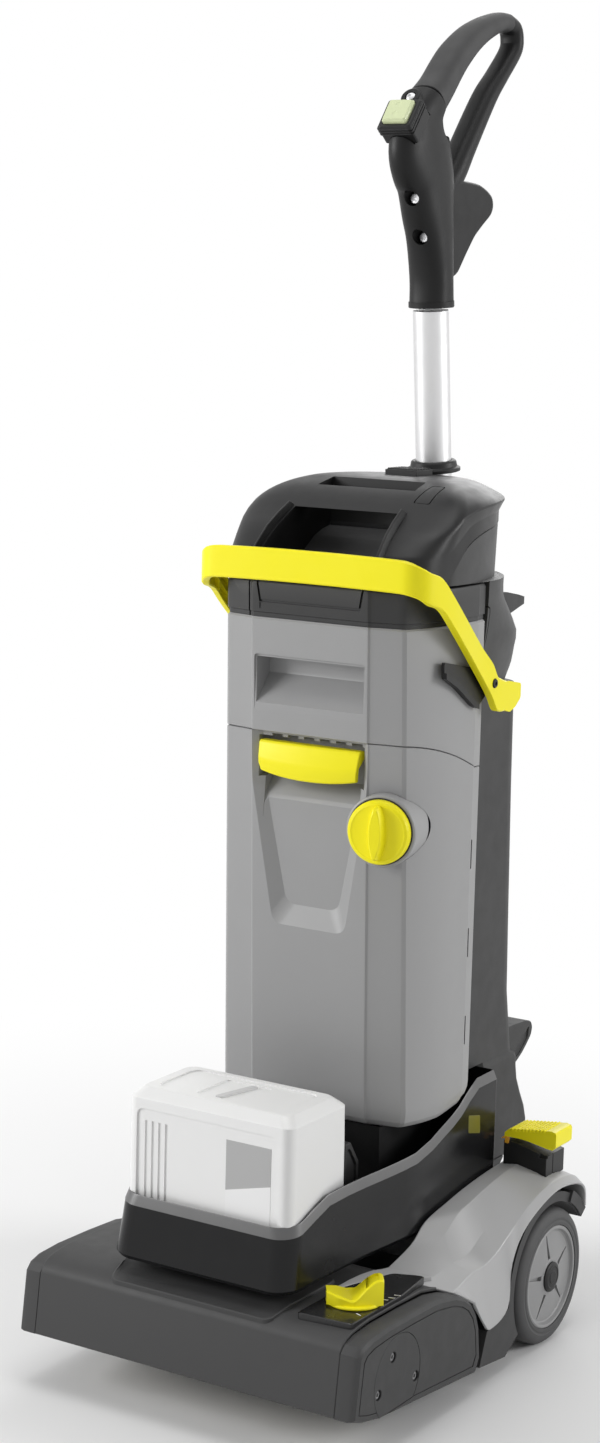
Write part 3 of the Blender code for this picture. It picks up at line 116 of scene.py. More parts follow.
@dataclass(frozen=True)
class Finish:
    """One surface finish: its colour, gloss, grain, colour drift, edge wear and any painted glow."""

    name: str
    colour: Point3
    roughness: float
    metallic: float = 0.0
    weave: Weave = Weave.SPARK
    grain: float = 1500.0
    depth: float = 0.00006
    drift: float = 0.06
    wear: float = 0.1
    gloss: float = 0.5
    stretch: Point3 = (1.0, 1.0, 1.0)
    # A faint painted glow: emission that lifts the colour, though the piece holds no lamp.
    painted_glow: float = 0.0

    def tinted(self, amount: float) -> Tuple[float, float, float, float]:
        """Return the colour multiplied by an amount, with alpha."""
        return tuple(min(1.0, c * amount) for c in self.colour) + (1.0,)

    def material(self) -> bpy.types.Material:
        """Return the finish's material, which is built once."""
        made = bpy.data.materials.get(self.name)
        if made:
            return made
        made = bpy.data.materials.new(self.name)
        made.use_nodes = True
        wiring = Wiring(made.node_tree)
        shader = wiring.nodes["Principled BSDF"]
        place = wiring.add("TexCoord").outputs["Object"]
        cloud = wiring.noise(place, CLOUD_CELLS, 4.0)
        grain = self.fine_grain(wiring, place)
        scuff = wiring.noise(place, SCUFF_CELLS, 6.0)
        wiring.fill(shader, {"Metallic": self.metallic, "Specular IOR Level": self.gloss,
            "Base Color": self.worn_colour(wiring, cloud, scuff), "Roughness": self.handled_gloss(wiring,
            cloud, scuff)})
        bump = wiring.add("Bump", {"Strength": BUMP_STRENGTH, "Distance": self.depth, "Height": grain})
        wiring.fill(shader, {"Normal": bump.outputs["Normal"]})
        # Painted glow: emission that brightens the colour.
        if self.painted_glow:
            wiring.fill(shader, {"Emission Color": self.tinted(1.0), "Emission Strength": self.painted_glow})
        made.diffuse_color = self.tinted(1.0)
        return made

    def fine_grain(self, wiring: Wiring, place: bpy.types.NodeSocket) -> bpy.types.NodeSocket:
        """Add the fine grain's texture and return its height output."""
        if self.weave is Weave.DIMPLED:
            return wiring.add("TexVoronoi", {"Scale": self.grain, "Vector": place}).outputs["Distance"]
        if self.weave is Weave.BRUSHED:
            place = wiring.add("Mapping", {"Scale": self.stretch, "Vector": place}).outputs["Vector"]
        return wiring.noise(place, self.grain, 3.0)

    def worn_colour(self, wiring: Wiring, cloud: bpy.types.NodeSocket,
            scuff: bpy.types.NodeSocket) -> bpy.types.NodeSocket:
        """Drift the colour over the surface and lighten its worn edges."""
        drift = wiring.add("Mix", data_type="RGBA")
        wiring.fill(drift, {6: self.tinted(1.0 - self.drift), 7: self.tinted(1.0 + self.drift),
            "Factor": cloud})
        shape = wiring.add("NewGeometry")
        edges = wiring.add("MapRange", {"From Min": EDGE_START, "From Max": EDGE_FULL, "To Max": self.wear,
            "Value": shape.outputs["Pointiness"]})
        broken = wiring.add("Math", {0: edges.outputs["Result"], 1: scuff}, operation="MULTIPLY")
        pale = tuple(0.55 * c + 0.45 * min(1.0, c + 0.25) for c in self.colour) + (1.0,)
        worn = wiring.add("Mix", {6: drift.outputs[2], 7: pale, "Factor": broken.outputs["Value"]},
            data_type="RGBA")
        return worn.outputs[2]

    def handled_gloss(self, wiring: Wiring, cloud: bpy.types.NodeSocket,
            scuff: bpy.types.NodeSocket) -> bpy.types.NodeSocket:
        """Vary the gloss with handling marks and fine scuffs."""
        both = wiring.add("Math", {0: cloud, 1: scuff}, operation="MULTIPLY")
        spread = wiring.add("MapRange", {"From Min": 0.1, "From Max": 0.45,
            "To Min": max(0.04, self.roughness - 0.06), "To Max": min(1.0, self.roughness + 0.1),
            "Value": both.outputs["Value"]})
        return spread.outputs["Result"]


DARK_SHELL = Finish("dark_moulded_shell", (0.042, 0.042, 0.0425), 0.58, grain=1300.0, depth=0.00014,
    gloss=0.35)
GLOSS_BLACK = Finish("gloss_black_tray", (0.009, 0.009, 0.0095), 0.2, weave=Weave.SMOOTH, grain=500.0,
    depth=0.00001, gloss=0.22)
RIM_BLACK = Finish("satin_black_rim", (0.098, 0.098, 0.099), 0.36, weave=Weave.SMOOTH, grain=700.0,
    depth=0.00002)
BLACK = Finish("satin_black_moulding", (0.009, 0.009, 0.0093), 0.44, grain=1500.0, depth=0.00007,
    gloss=0.3)
DOME_BLACK = Finish("dome_black_moulding", (0.009, 0.009, 0.0093), 0.4, grain=1700.0, depth=0.00005,
    gloss=0.25)
DECK = Finish("deck_black_moulding", (0.011, 0.011, 0.0115), 0.22, grain=900.0, depth=0.00004)
OLIVE = Finish("olive_moulding", (0.14, 0.13, 0.015), 0.35)
LID = Finish("lid_black_moulding", (0.02, 0.02, 0.0203), 0.42, grain=1600.0, depth=0.00006, gloss=0.4)
SCREW = Finish("dark_zinc", (0.24, 0.24, 0.245), 0.34, metallic=0.9, grain=1200.0, depth=0.00003,
    drift=0.1)
HOUSING = Finish("housing_dark_grey", (0.04, 0.04, 0.0405), 0.52, grain=1400.0, depth=0.0001, gloss=0.35)
TANK = Finish("tank_grey_moulding", (0.3, 0.3, 0.302), 0.42, grain=1800.0, depth=0.00005, drift=0.04)
COVER = Finish("cover_grey_moulding", (0.41, 0.41, 0.412), 0.38, grain=1800.0, depth=0.00005, drift=0.04)
BATTERY = Finish("battery_white_moulding", (0.78, 0.78, 0.776), 0.36, grain=1900.0, depth=0.00004,
    drift=0.02, wear=0.0)
BATTERY_TRIM = Finish("battery_grey_trim", (0.58, 0.58, 0.58), 0.34, grain=1900.0, depth=0.00004,
    drift=0.02, wear=0.0)
LABEL_DARK = Finish("label_grey_field", (0.4, 0.4, 0.4), 0.45, grain=2200.0, depth=0.00001, drift=0.03,
    wear=0.0)
LABEL_PALE = Finish("label_pale_field", (0.8, 0.8, 0.8), 0.42, grain=2200.0, depth=0.00001, drift=0.02,
    wear=0.0)
YELLOW = Finish("yellow_moulding", (0.92, 0.83, 0.012), 0.34, grain=1500.0, depth=0.00005, drift=0.03,
    wear=0.0, gloss=0.25)
ORANGE = Finish("amber_moulding", (0.75, 0.36, 0.02), 0.36, drift=0.03)
RUBBER = Finish("black_rubber", (0.04, 0.04, 0.041), 0.72, grain=900.0, depth=0.0002, drift=0.12,
    wear=0.25)
TYRE = Finish("tyre_rubber", (0.06, 0.06, 0.061), 0.68, grain=1100.0, depth=0.00018, drift=0.12, wear=0.3)
HUB = Finish("hub_grey_moulding", (0.26, 0.26, 0.262), 0.42, grain=1500.0, depth=0.00006)
ALUMINIUM = Finish("brushed_aluminium", (0.66, 0.66, 0.665), 0.38, metallic=0.85, weave=Weave.BRUSHED,
    grain=900.0, depth=0.00002, drift=0.04, stretch=(1.0, 1.0, 0.02), wear=0.0)
ZINC = Finish("plated_steel", (0.6, 0.6, 0.61), 0.3, metallic=1.0, grain=1200.0, depth=0.00003, drift=0.1)
BRISTLE = Finish("nylon_bristle", (0.55, 0.53, 0.47), 0.6, grain=600.0, depth=0.0002, drift=0.15)
SOFT_GRIP = Finish("soft_grip", (0.028, 0.028, 0.0285), 0.62, weave=Weave.DIMPLED, grain=900.0,
    depth=0.00008)
GRIP = Finish("grip_black_moulding", (0.009, 0.009, 0.0093), 0.46, grain=1500.0, depth=0.00008, gloss=0.22)
# The rocker's lens carries a faint painted glow that brightens its pale colour.
LENS = Finish("rocker_lens", (0.6, 0.66, 0.4), 0.22, weave=Weave.SMOOTH, grain=400.0, depth=0.00001,
    painted_glow=0.06, drift=0.05, wear=0.0)
# Painted shadow: a near-black laid inside the tank's slots and round the filler cap, where there is only
# shade.
SHADOW = Finish("painted_shadow_black", (0.006, 0.006, 0.006), 0.65, drift=0.1)


# ------------------------------------------------------------------ shapes
class Caps(Enum):
    """How the two ends of a lofted shape are closed."""

    FLAT = "one face"
    ACROSS = "strips from side to side"


def between(value: float, table: Table) -> float:
    """Read a value from a table of (place, value) pairs, with straight lines between them."""
    if value <= table[0][0]:
        return table[0][1]
    for (low, first), (high, second) in zip(table, table[1:]):
        if value <= high:
            part = (value - low) / (high - low)
            return first + (second - first) * part
    return table[-1][1]


def smooth_path(points: Sequence[Sequence[float]], steps: int) -> List[Tuple[float, ...]]:
    """Return a smooth curve through points of any dimension.

    Args:
        points: the points to pass through, in order.
        steps: how many pieces each stretch is divided into.

    Returns:
        The points of the curve.
    """
    path: List[Tuple[float, ...]] = []
    last = len(points) - 1
    for index in range(last):
        before, start = points[max(index - 1, 0)], points[index]
        end, after = points[index + 1], points[min(index + 2, last)]
        for step in range(steps):
            t = step / steps
            weights = (-0.5 * t + t * t - 0.5 * t ** 3, 1 - 2.5 * t * t + 1.5 * t ** 3, 0.5 * t + 2 * t * t
                - 1.5 * t ** 3, -0.5 * t * t + 0.5 * t ** 3)
            path.append(tuple(sum(w * p[axis] for w, p in zip(weights, (before, start, end, after)))
                for axis in range(len(start))))
    path.append(tuple(points[-1]))
    return path


def heading(path: Sequence[Sequence[float]], index: int) -> Vector:
    """Return a path's direction at one of its points, from its first two coordinates."""
    before, after = path[max(index - 1, 0)], path[min(index + 1, len(path) - 1)]
    return Vector((after[0] - before[0], after[1] - before[1])).normalized()


def turns(count: int) -> List[float]:
    """Return the angles of a full turn in equal steps."""
    return [2 * math.pi * step / count for step in range(count)]


def boxed(value: float, power: float) -> float:
    """Return a signed sine or cosine raised to a power: below 1 makes a circle boxy."""
    return math.copysign(abs(value) ** power, value)


def arc(centre: Point2, radius: float, start: float, end: float, steps: int) -> List[Point2]:
    """Return points on a circle from one angle to another, in degrees."""
    angles = [math.radians(start + (end - start) * step / steps) for step in range(steps + 1)]
    return [(centre[0] + radius * math.cos(a), centre[1] + radius * math.sin(a)) for a in angles]


def mirrored(half: Sequence[Point2]) -> List[Point2]:
    """Complete an outline from its right half, which starts and ends at X = 0."""
    return list(half) + [(-x, y) for x, y in reversed(half) if abs(x) > NOTHING]


def rounded(points: Sequence[Point2], radius: float, steps: int = 4) -> List[Point2]:
    """Round every corner of a closed outline.

    Args:
        points: the corners.
        radius: the length cut from each side of a corner.
        steps: how many pieces each round has.

    Returns:
        The outline with its corners rounded.
    """
    made: List[Point2] = []
    for index, corner in enumerate(points):
        here = Vector(corner)
        legs = []
        for other in (points[index - 1], points[(index + 1) % len(points)]):
            leg = Vector(other) - here
            reach = min(radius, leg.length * 0.45)
            legs.append(here + leg.normalized() * reach)
        for step in range(steps + 1):
            t = step / steps
            spot = legs[0] * (1 - t) ** 2 + here * 2 * t * (1 - t) + legs[1] * t * t
            made.append((spot.x, spot.y))
    return made


def rectangle(left: float, low: float, right: float, high: float) -> List[Point2]:
    """Return the four corners of a rectangle."""
    return [(left, low), (right, low), (right, high), (left, high)]


def star(centre: Point2, tips: float, dents: float) -> List[Point2]:
    """Return the outline of a six-pointed socket."""
    turns = [math.pi * step / 6 for step in range(12)]
    return [(centre[0] + (dents if step % 2 else tips) * math.cos(turn),
        centre[1] + (dents if step % 2 else tips) * math.sin(turn)) for step, turn in enumerate(turns)]


def span(side: int, near: float, far: float) -> List[float]:
    """Return a stretch outwards from the middle plane as low and high X on one side."""
    return sorted((side * near, side * far))


class Shape:
    """A mesh under construction."""

    def __init__(self) -> None:
        """Start with an empty mesh."""
        self.bm = bmesh.new()

    def strips(self, rows: Sequence[Ring], around: bool = True,
            hoop: bool = False) -> List[List[bmesh.types.BMVert]]:
        """Join rows of points with faces.

        Args:
            rows: the rows, of equal length.
            around: join each row's last point to its first.
            hoop: join the last row to the first.

        Returns:
            The rows' vertices.
        """
        made = [[self.bm.verts.new([MM * c for c in point]) for point in row] for row in rows]
        count = len(made[0])
        for low, high in zip(made, made[1:] + made[:1] if hoop else made[1:]):
            for index in range(count if around else count - 1):
                after = (index + 1) % count
                self.bm.faces.new((low[index], low[after], high[after], high[index]))
        return made

    def loft(self, rings: Sequence[Ring], caps: Caps = Caps.FLAT) -> "Shape":
        """Skin a list of rings of equal length."""
        made = self.strips(rings)
        for ring in (made[0], made[-1]):
            if caps is Caps.FLAT:
                self.bm.faces.new(ring)
            else:
                self.cap_across(ring)
        return self

    def cap_across(self, ring: Sequence[bmesh.types.BMVert]) -> None:
        """Cap a mirrored ring with strips that run straight across it."""
        half = len(ring) // 2
        marks = [0]
        for index in range(1, half + 1):
            if abs(ring[index].co.y - ring[marks[-1]].co.y) > LEVEL:
                marks.append(index)
        marks[-1] = half
        for low, high in zip(marks, marks[1:]):
            corners = list(ring[low:high + 1]) + [ring[-i] for i in range(high, low - 1, -1)]
            self.bm.faces.new(list(dict.fromkeys(corners)))

    def sheet(self, rows: Sequence[Ring]) -> "Shape":
        """Make an open sheet from rows of points."""
        self.strips(rows, around=False)
        return self

    def hoop(self, rows: Sequence[Ring]) -> "Shape":
        """Skin rings that lead back to the first, as the cutter of a groove does."""
        self.strips(rows, hoop=True)
        return self

    def prism(self, outline: Sequence[Point2], axis: str, low: float, high: float) -> "Shape":
        """Extrude an outline along an axis: (y, z) for X, (x, z) for Y and (x, y) for Z."""
        if axis == "X":
            rings = [[(at, a, b) for a, b in outline] for at in (low, high)]
        elif axis == "Y":
            rings = [[(a, at, b) for a, b in outline] for at in (low, high)]
        else:
            rings = [[(a, b, at) for a, b in outline] for at in (low, high)]
        return self.loft(rings)

    def block(self, low: Point3, high: Point3) -> "Shape":
        """Add a block between two corners."""
        return self.prism(rectangle(low[0], low[1], high[0], high[1]), "Z", low[2], high[2])

    def rod(self, radius: float, low: float, high: float, place: Sequence[float],
            direction: Sequence[float] = RIGHT, sides: int = 24) -> "Shape":
        """Add a plain round bar between two distances along an axis."""
        return self.turned([(0, low), (radius, low), (radius, high), (0, high)], place, direction, sides)

    def turned(self, profile: Sequence[Point2], place: Sequence[float], direction: Sequence[float] = RIGHT,
            sides: int = 64) -> "Shape":
        """Turn a closed (radius, along) profile about an axis.

        Args:
            profile: the points; one that starts and ends at radius 0 makes a solid.
            place: a point on the axis.
            direction: the axis.
            sides: how many sides the turned piece has.

        Returns:
            The same shape.
        """
        along = Vector(direction).normalized()
        side = along.orthogonal().normalized()
        up = along.cross(side)
        spot = Vector([MM * c for c in place])
        rings = []
        for radius, distance in profile:
            centre = spot + along * (MM * distance)
            if radius < NOTHING:
                rings.append([self.bm.verts.new(centre)])
                continue
            angles = turns(sides)
            rings.append([self.bm.verts.new(centre + (side * math.cos(a) + up * math.sin(a))
                * (MM * radius)) for a in angles])
        pairs = list(zip(rings, rings[1:]))
        if len(rings[0]) > 1:
            pairs.append((rings[-1], rings[0]))
        for first, second in pairs:
            for index in range(sides):
                after = (index + 1) % sides
                corners = (first[index % len(first)], first[after % len(first)],
                    second[after % len(second)], second[index % len(second)])
                unique = list(dict.fromkeys(corners))
                if len(unique) > 2:
                    self.bm.faces.new(unique)
        return self

    def thing(self, name: str) -> bpy.types.Object:
        """Turn the shape into a Blender object."""
        bmesh.ops.remove_doubles(self.bm, verts=self.bm.verts, dist=MERGE)
        bmesh.ops.recalc_face_normals(self.bm, faces=self.bm.faces)
        mesh = bpy.data.meshes.new(name)
        self.bm.to_mesh(mesh)
        self.bm.free()
        made = bpy.data.objects.new(name, mesh)
        bpy.context.scene.collection.objects.link(made)
        return made


def settle(thing: bpy.types.Object) -> None:
    """Apply an object's modifiers to its mesh."""
    graph = bpy.context.evaluated_depsgraph_get()
    mesh = bpy.data.meshes.new_from_object(thing.evaluated_get(graph))
    thing.modifiers.clear()
    thing.data = mesh


def combine(thing: bpy.types.Object, other: Shape, operation: str) -> None:
    """Cut, join or trim an object with a shape, and throw the shape away."""
    tool = other.thing("tool")
    step = thing.modifiers.new("combine", "BOOLEAN")
    step.operation = operation
    step.solver = "EXACT"
    step.object = tool
    settle(thing)
    bpy.data.objects.remove(tool, do_unlink=True)


def dress(thing: bpy.types.Object, finish: Finish, edge: float, angle: float) -> None:
    """Round an object's edges, smooth its shading and give it a finish."""
    thing.data.materials.clear()
    thing.data.materials.append(finish.material())
    thing.data.shade_smooth()
    thing.data.set_sharp_from_angle(angle=math.radians(angle))
    if edge > 0:
        bevel = thing.modifiers.new("edge_round", "BEVEL")
        bevel.width = MM * edge
        bevel.segments = EDGE_STEPS
        bevel.limit_method = "ANGLE"
        bevel.angle_limit = math.radians(angle)
        bevel.harden_normals = False
    normals = thing.modifiers.new("even_normals", "WEIGHTED_NORMAL")
    normals.keep_sharp = True


def piece(name: str, shape: Shape, finish: Finish, body: str, cuts: Sequence[Shape] = (),
        joins: Sequence[Shape] = (), replaces: Sequence[str] = (), edge: float = 0.8, angle: float = 30.0,
        wall: Tuple[float, float] = (0.0, 0.0)) -> bpy.types.Object:
    """Make one finished piece that rides on a body.

    Args:
        name: the piece's name.
        shape: its mesh.
        finish: its surface finish.
        body: the body it moves with.
        cuts: shapes taken out of it.
        joins: shapes joined to it before the cuts.
        replaces: the model's nodes that it stands for.
        edge: the width of its rounded edges.
        angle: the least angle of an edge that is rounded, in degrees.
        wall: the thickness given to an open sheet, and to which side of it.

    Returns:
        The finished object.
    """
    made = shape.thing(name)
    if wall[0]:
        step = made.modifiers.new("wall", "SOLIDIFY")
        step.thickness, step.offset = MM * wall[0], wall[1]
        settle(made)
    for other in joins:
        combine(made, other, "UNION")
    for other in cuts:
        combine(made, other, "DIFFERENCE")
    if joins or cuts:
        mesh = bmesh.new()
        mesh.from_mesh(made.data)
        bmesh.ops.remove_doubles(mesh, verts=mesh.verts, dist=REPAIR)
        bmesh.ops.dissolve_degenerate(mesh, dist=REPAIR, edges=mesh.edges)
        mesh.to_mesh(made.data)
        mesh.free()
    dress(made, finish, edge, angle)
    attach(made, body)
    if replaces:
        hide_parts(*replaces)
    LOG.info("made %s on %s: %d faces", name, body, len(made.data.polygons))
    return made


def keep(node: str, finish: Finish) -> None:
    """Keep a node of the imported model, with rounded edges and a finish."""
    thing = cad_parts[node]
    weld = thing.modifiers.new("join_corners", "WELD")
    weld.merge_threshold = LEVEL
    dress(thing, finish, KEPT_EDGE, KEPT_ANGLE)
    LOG.info("kept %s", node)


# ------------------------------------------------------------------ studio
def direct_rays(wiring: Wiring) -> bpy.types.NodeSocket:
    """Return an output that is 1 for rays seen straight on, in a mirror or through glass."""
    path = wiring.add("LightPath").outputs
    found = path["Is Camera Ray"]
    for other in ("Is Glossy Ray", "Is Transmission Ray"):
        found = wiring.add("Math", {0: found, 1: path[other]}, operation="MAXIMUM").outputs["Value"]
    return found


@dataclass
class Studio:
    """The floor, the soft lamps and the camera."""

    eye: Point3 = (1.1799, -1.979, 0.9335)
    heading: float = 32.05
    pitch: float = 9.18
    roll: float = 1.471
    lens: float = 66.56
    floor_reach: float = 9000.0
    world_level: float = 0.34
    lamps: Tuple[Tuple[Point3, float, float], ...] = (((-2.6, -2.1, 1.5), 1.5, 82.0),
        ((3.0, 1.5, 1.5), 1.3, 54.0), ((0.1, -0.2, 3.1), 1.6, 24.0), ((-0.8, 2.7, 1.9), 1.5, 20.0),)
    aim: Point3 = (0.0, 0.0, 0.55)

    def build(self) -> None:
        """Set up everything round the object."""
        self.camera()
        self.world()
        for number, (spot, size, power) in enumerate(self.lamps):
            self.lamp("soft_lamp_%d" % number, spot, size, power)
        self.floor()
        bpy.context.scene.view_settings.view_transform = "Standard"

    def camera(self) -> None:
        """Place the camera."""
        data = bpy.data.cameras.new("camera")
        data.lens = self.lens
        data.sensor_width = 36.0
        data.sensor_fit = "AUTO"
        data.dof.use_dof = False
        turn, drop, lean = (math.radians(v) for v in (self.heading, self.pitch, self.roll))
        ahead = Vector((-math.sin(turn) * math.cos(drop), math.cos(turn) * math.cos(drop),
            -math.sin(drop)))
        right = Vector((math.cos(turn), math.sin(turn), 0.0))
        up = right.cross(ahead)
        tilted = right * math.cos(lean) + up * math.sin(lean)
        over = up * math.cos(lean) - right * math.sin(lean)
        made = bpy.data.objects.new("camera", data)
        basis = Matrix((tilted, over, -ahead)).transposed().to_4x4()
        made.matrix_world = Matrix.Translation(self.eye) @ basis
        bpy.context.scene.collection.objects.link(made)
        bpy.context.scene.camera = made

    def lamp(self, name: str, spot: Point3, size: float, power: float) -> None:
        """Hang one square soft lamp that faces the object."""
        data = bpy.data.lights.new(name, "AREA")
        data.shape = "SQUARE"
        data.size = size
        data.energy = power
        made = bpy.data.objects.new(name, data)
        made.location = spot
        made.rotation_euler = (Vector(self.aim) - Vector(spot)).to_track_quat("-Z", "Y").to_euler()
        bpy.context.scene.collection.objects.link(made)

    def world(self) -> None:
        """Light from all round, with a white ground behind the object."""
        world = bpy.data.worlds.new("studio")
        bpy.context.scene.world = world
        world.use_nodes = True
        wiring = Wiring(world.node_tree)
        light = wiring.fill(wiring.nodes["Background"], {"Color": WHITE, "Strength": self.world_level})
        white = wiring.add("Background", {"Color": WHITE, "Strength": 1.0})
        mix = wiring.add("MixShader", {1: light.outputs["Background"], 2: white.outputs["Background"]})
        wiring.fill(mix, {"Fac": direct_rays(wiring)})
        wiring.fill(wiring.nodes["World Output"], {"Surface": mix.outputs["Shader"]})

    def floor(self) -> None:
        """Lay the pale floor, which fades into the white ground far away."""
        shape = Shape()
        shape.turned([(0, 0.0), (self.floor_reach, 0.0)], (0, 0, -0.2), (0, 0, 1), 48)
        made = shape.thing("floor")
        material = bpy.data.materials.new("pale_floor")
        material.use_nodes = True
        wiring = Wiring(material.node_tree)
        shader = wiring.fill(wiring.nodes["Principled BSDF"], {"Base Color": (0.86, 0.86, 0.86, 1.0),
            "Roughness": 0.85, "Specular IOR Level": 0.1})
        place = wiring.add("TexCoord").outputs["Object"]
        reach = wiring.add("VectorMath", {0: place}, operation="LENGTH")
        fade = wiring.add("MapRange", {"From Min": 0.35, "From Max": 1.1, "Value": reach.outputs["Value"]},
            interpolation_type="SMOOTHSTEP")
        clear = wiring.add("Emission", {"Color": WHITE})
        seen = wiring.add("Math", {0: fade.outputs["Result"]}, operation="MULTIPLY")
        wiring.fill(seen, {1: direct_rays(wiring)})
        mix = wiring.add("MixShader", {"Fac": seen.outputs["Value"], 1: shader.outputs["BSDF"],
            2: clear.outputs["Emission"]})
        wiring.fill(wiring.nodes["Material Output"], {"Surface": mix.outputs["Shader"]})
        made.data.materials.append(material)


# ------------------------------------------------------------------ tanks
@dataclass
class TankPair:
    """The two grey tanks with their lid, latch, filler cap and seams."""

    half: float = 104
    rear: float = 42
    lean: float = 0.0405
    panel: float = 57.5
    joint: float = 559
    top: float = 658
    cap_centre: Point3 = (75.5, -80, 488)
    cap_turn: float = 11.5
    latch_pivot: Point2 = (-74.5, 548.5)
    slots: Tuple[Point2, ...] = ((440, 466), (361, 387), (282, 308))

    def front(self, z: float) -> float:
        """Return the Y of the flat front panel at a height."""
        return -67 - self.lean * (z - 239)

    def plan(self, z: float, inset: float = 0) -> List[Point2]:
        """Return the tank's plan outline at a height, pulled in by an inset."""
        front = self.front(z) + inset
        corner = 90 - 0.009 * (z - 239) - inset
        side = self.half - inset
        edge = self.panel - inset * 0.3
        half = [(0, front), (edge * 0.5, front), (edge - 1.5, front), (edge, front + 0.2),
            (edge + 1.6, front + 1.5), (edge + 3, front + 1.9), (edge * 0.55 + corner * 0.45, front + 4.4),
            (corner - 4, front + 6.9), (corner, front + 8), (corner + 3, front + 10.4)]
        start_x, start_y = half[-1]
        for step in range(1, 11):
            part = step / 10
            y = start_y + (6 - start_y) * part
            half.append((side - (side - start_x) * (1 - part) ** 2.3, y))
        half += [(side, 23.5), (side - 0.2, 24.5), (side - 1.6, 26.2), (side - 1.8, 28),
            (side - 3.2, self.rear - inset - 2), (side - 5.2, self.rear - inset), (0, self.rear - inset)]
        return mirrored(half)

    def level(self, z: float, inset: float = 0) -> Ring:
        """Return the plan as a level ring."""
        return [(x, y, z) for x, y in self.plan(z, inset)]

    def seam(self, y: float) -> float:
        """Return how far the joint between the tanks falls towards the back."""
        return 30 * min(1.0, max(0, (y + 75) / 105)) ** 1.6

    def joint_ring(self, lift: float, inset: float) -> Ring:
        """Return the ring that follows the joint between the two tanks."""
        return [(x, y, self.joint + lift - self.seam(y)) for x, y in self.plan(self.joint, inset)]

    def foot_ring(self, z: float, inset: float) -> Ring:
        """Return a ring near the bottom, which rises towards the back."""
        return [(x, y, z + 0.13 * max(0, y + 10)) for x, y in self.plan(230, inset)]

    def outward(self) -> Vector:
        """Return the outward direction of the filler cap."""
        turn = math.radians(self.cap_turn)
        return Vector((math.sin(turn), -math.cos(turn), 0))

    def trapezoid(self, top: float, low_half: float, low: float) -> List[Point2]:
        """Return a rounded (x, z) trapezoid for the scoop under the latch."""
        corners = [(-low_half, low), (low_half, low), (top - 1.5, 520), (top, 575), (-top, 575),
            (-top + 1.5, 520)]
        return rounded(corners, 10, 5)

    def scoop(self) -> Shape:
        """Return the cutter of the scoop: a chamfered band round a set-back panel."""
        outer, inner = self.trapezoid(60, 36.5, 390), self.trapezoid(50.5, 26.2, 408.5)
        rings = []
        for outline, depth in ((outer, -20), (outer, -0.2), (inner, 6.8)):
            rings.append([(x, self.front(z) + depth, z) for x, z in outline])
        first = [(x * 1.28, y, z if z > 500 else z - 12) for x, y, z in rings[0]]
        return Shape().loft([first, rings[1], rings[2]])

    def throat(self) -> Shape:
        """Return the cutter of the hollow that the fingers reach under the latch."""
        profile = [(-120, 554.5), (-55.5, 554.5), (-55.5, 530), (-58.5, 520), (-64, 512), (-69.5, 504),
            (-72.8, 495), (-73.8, 484), (-120, 484)]
        return Shape().prism(profile, "X", -48, 48)

    def build_lower(self) -> None:
        """Build the clean-water tank."""
        rings = [self.foot_ring(z, inset) for z, inset in ((222, 13), (222.6, 8.5), (225, 4.5), (229, 1.8),
            (234.5, 0.4), (240, 0))]
        rings += [self.level(255 + 24.5 * step) for step in range(12)]
        rings += [self.joint_ring(-0.6, 0), self.joint_ring(0, 0.6)]
        latch = Shape().prism([(-110, 515), (-62, 520), (-56, 529), (-56, 555), (-110, 555)], "X", -53, 53)
        cuts = [self.scoop(), latch, self.throat()]
        cuts.append(Shape().rod(31.3, -60, 30, self.cap_centre, self.outward(), 48))
        for low, high in self.slots:
            for side, _ in SIDES:
                near, far = span(side, 97.5, 106)
                cuts.append(Shape().block((near, 25.4, low), (far, 29.8, high)))
        for step in range(6):
            x = -41 + 16 * step
            cuts.append(Shape().block((x, -110, 554), (x + 10.5, -56, 557.2)))
        piece("lower_tank_body", Shape().loft(rings, Caps.ACROSS), TANK, "tanks", cuts=cuts,
            replaces=["lower_tank"], edge=0.9, angle=17)
        # Painted shade: near-black inlays set into the slots, standing in for the shadow inside them.
        for side, word in SIDES:
            near, far = span(side, 97, 101.2)
            parts = [Shape().block((near, 25.6, low + 0.2), (far, 29.6, high - 0.2))
                for low, high in self.slots]
            piece("tank_slot_painted_shade_" + word, parts[0], SHADOW, "tanks", joins=parts[1:], edge=0)

    def build_upper(self) -> None:
        """Build the waste-water tank, with the recess for the hand."""
        rings = [self.joint_ring(0.6, 0.6), self.joint_ring(1.2, 0)]
        rings += [self.level(z) for z in (575, 600, 625, 645, 656.2)]
        rings += [self.level(657, 0.6), self.level(self.top, 1.2)]
        frame_cut = Shape().loft([[(x, y + self.front(600), z)
            for x, z in rounded(rectangle(-half, 577, half, 626.2), 3)] for y, half in ((-20, 55.6),
            (1, 55.2))])
        hand = Shape().prism([(-110, 579), (-81.5, 583), (-70, 596.5), (-60.5, 608), (-60, 610),
            (-60, 624), (-110, 624)], "X", -53.5, 53.5)
        piece("upper_tank_body", Shape().loft(rings, Caps.ACROSS), TANK, "tanks",
            cuts=[frame_cut, hand], replaces=["upper_tank"], edge=0.9, angle=17)

    def build_lid(self) -> None:
        """Build the black lid, with the outline of its tongue and its corner seams."""
        rings = [self.level(z, inset) for z, inset in ((658.4, 2.2), (658.4, 1), (662, 1), (662.6, 0),
            (675, 0), (686.5, 0), (689, 1.2), (690, 3.4))]
        face = self.front(680)
        tongue = [(-52.5, 695), (-48.5, 673.5), (48.5, 673.5), (52.5, 695), (54.5, 695), (50.2, 671.2),
            (-50.2, 671.2), (-54.5, 695)]
        cuts = [Shape().prism(tongue, "Y", -110, face + 2.2)]
        for x, width in ((-62.5, 1.6), (-85, 1)):
            cuts.append(Shape().block((x, -110, 658), (x + width, face + 7, 695)))
        cuts.append(Shape().block((-50, -110, 665.5), (-47, face + 1.2, 670.5)))
        piece("tank_lid_cover", Shape().loft(rings, Caps.ACROSS), LID, "tanks", cuts=cuts,
            replaces=["tank_lid"], edge=0.6)

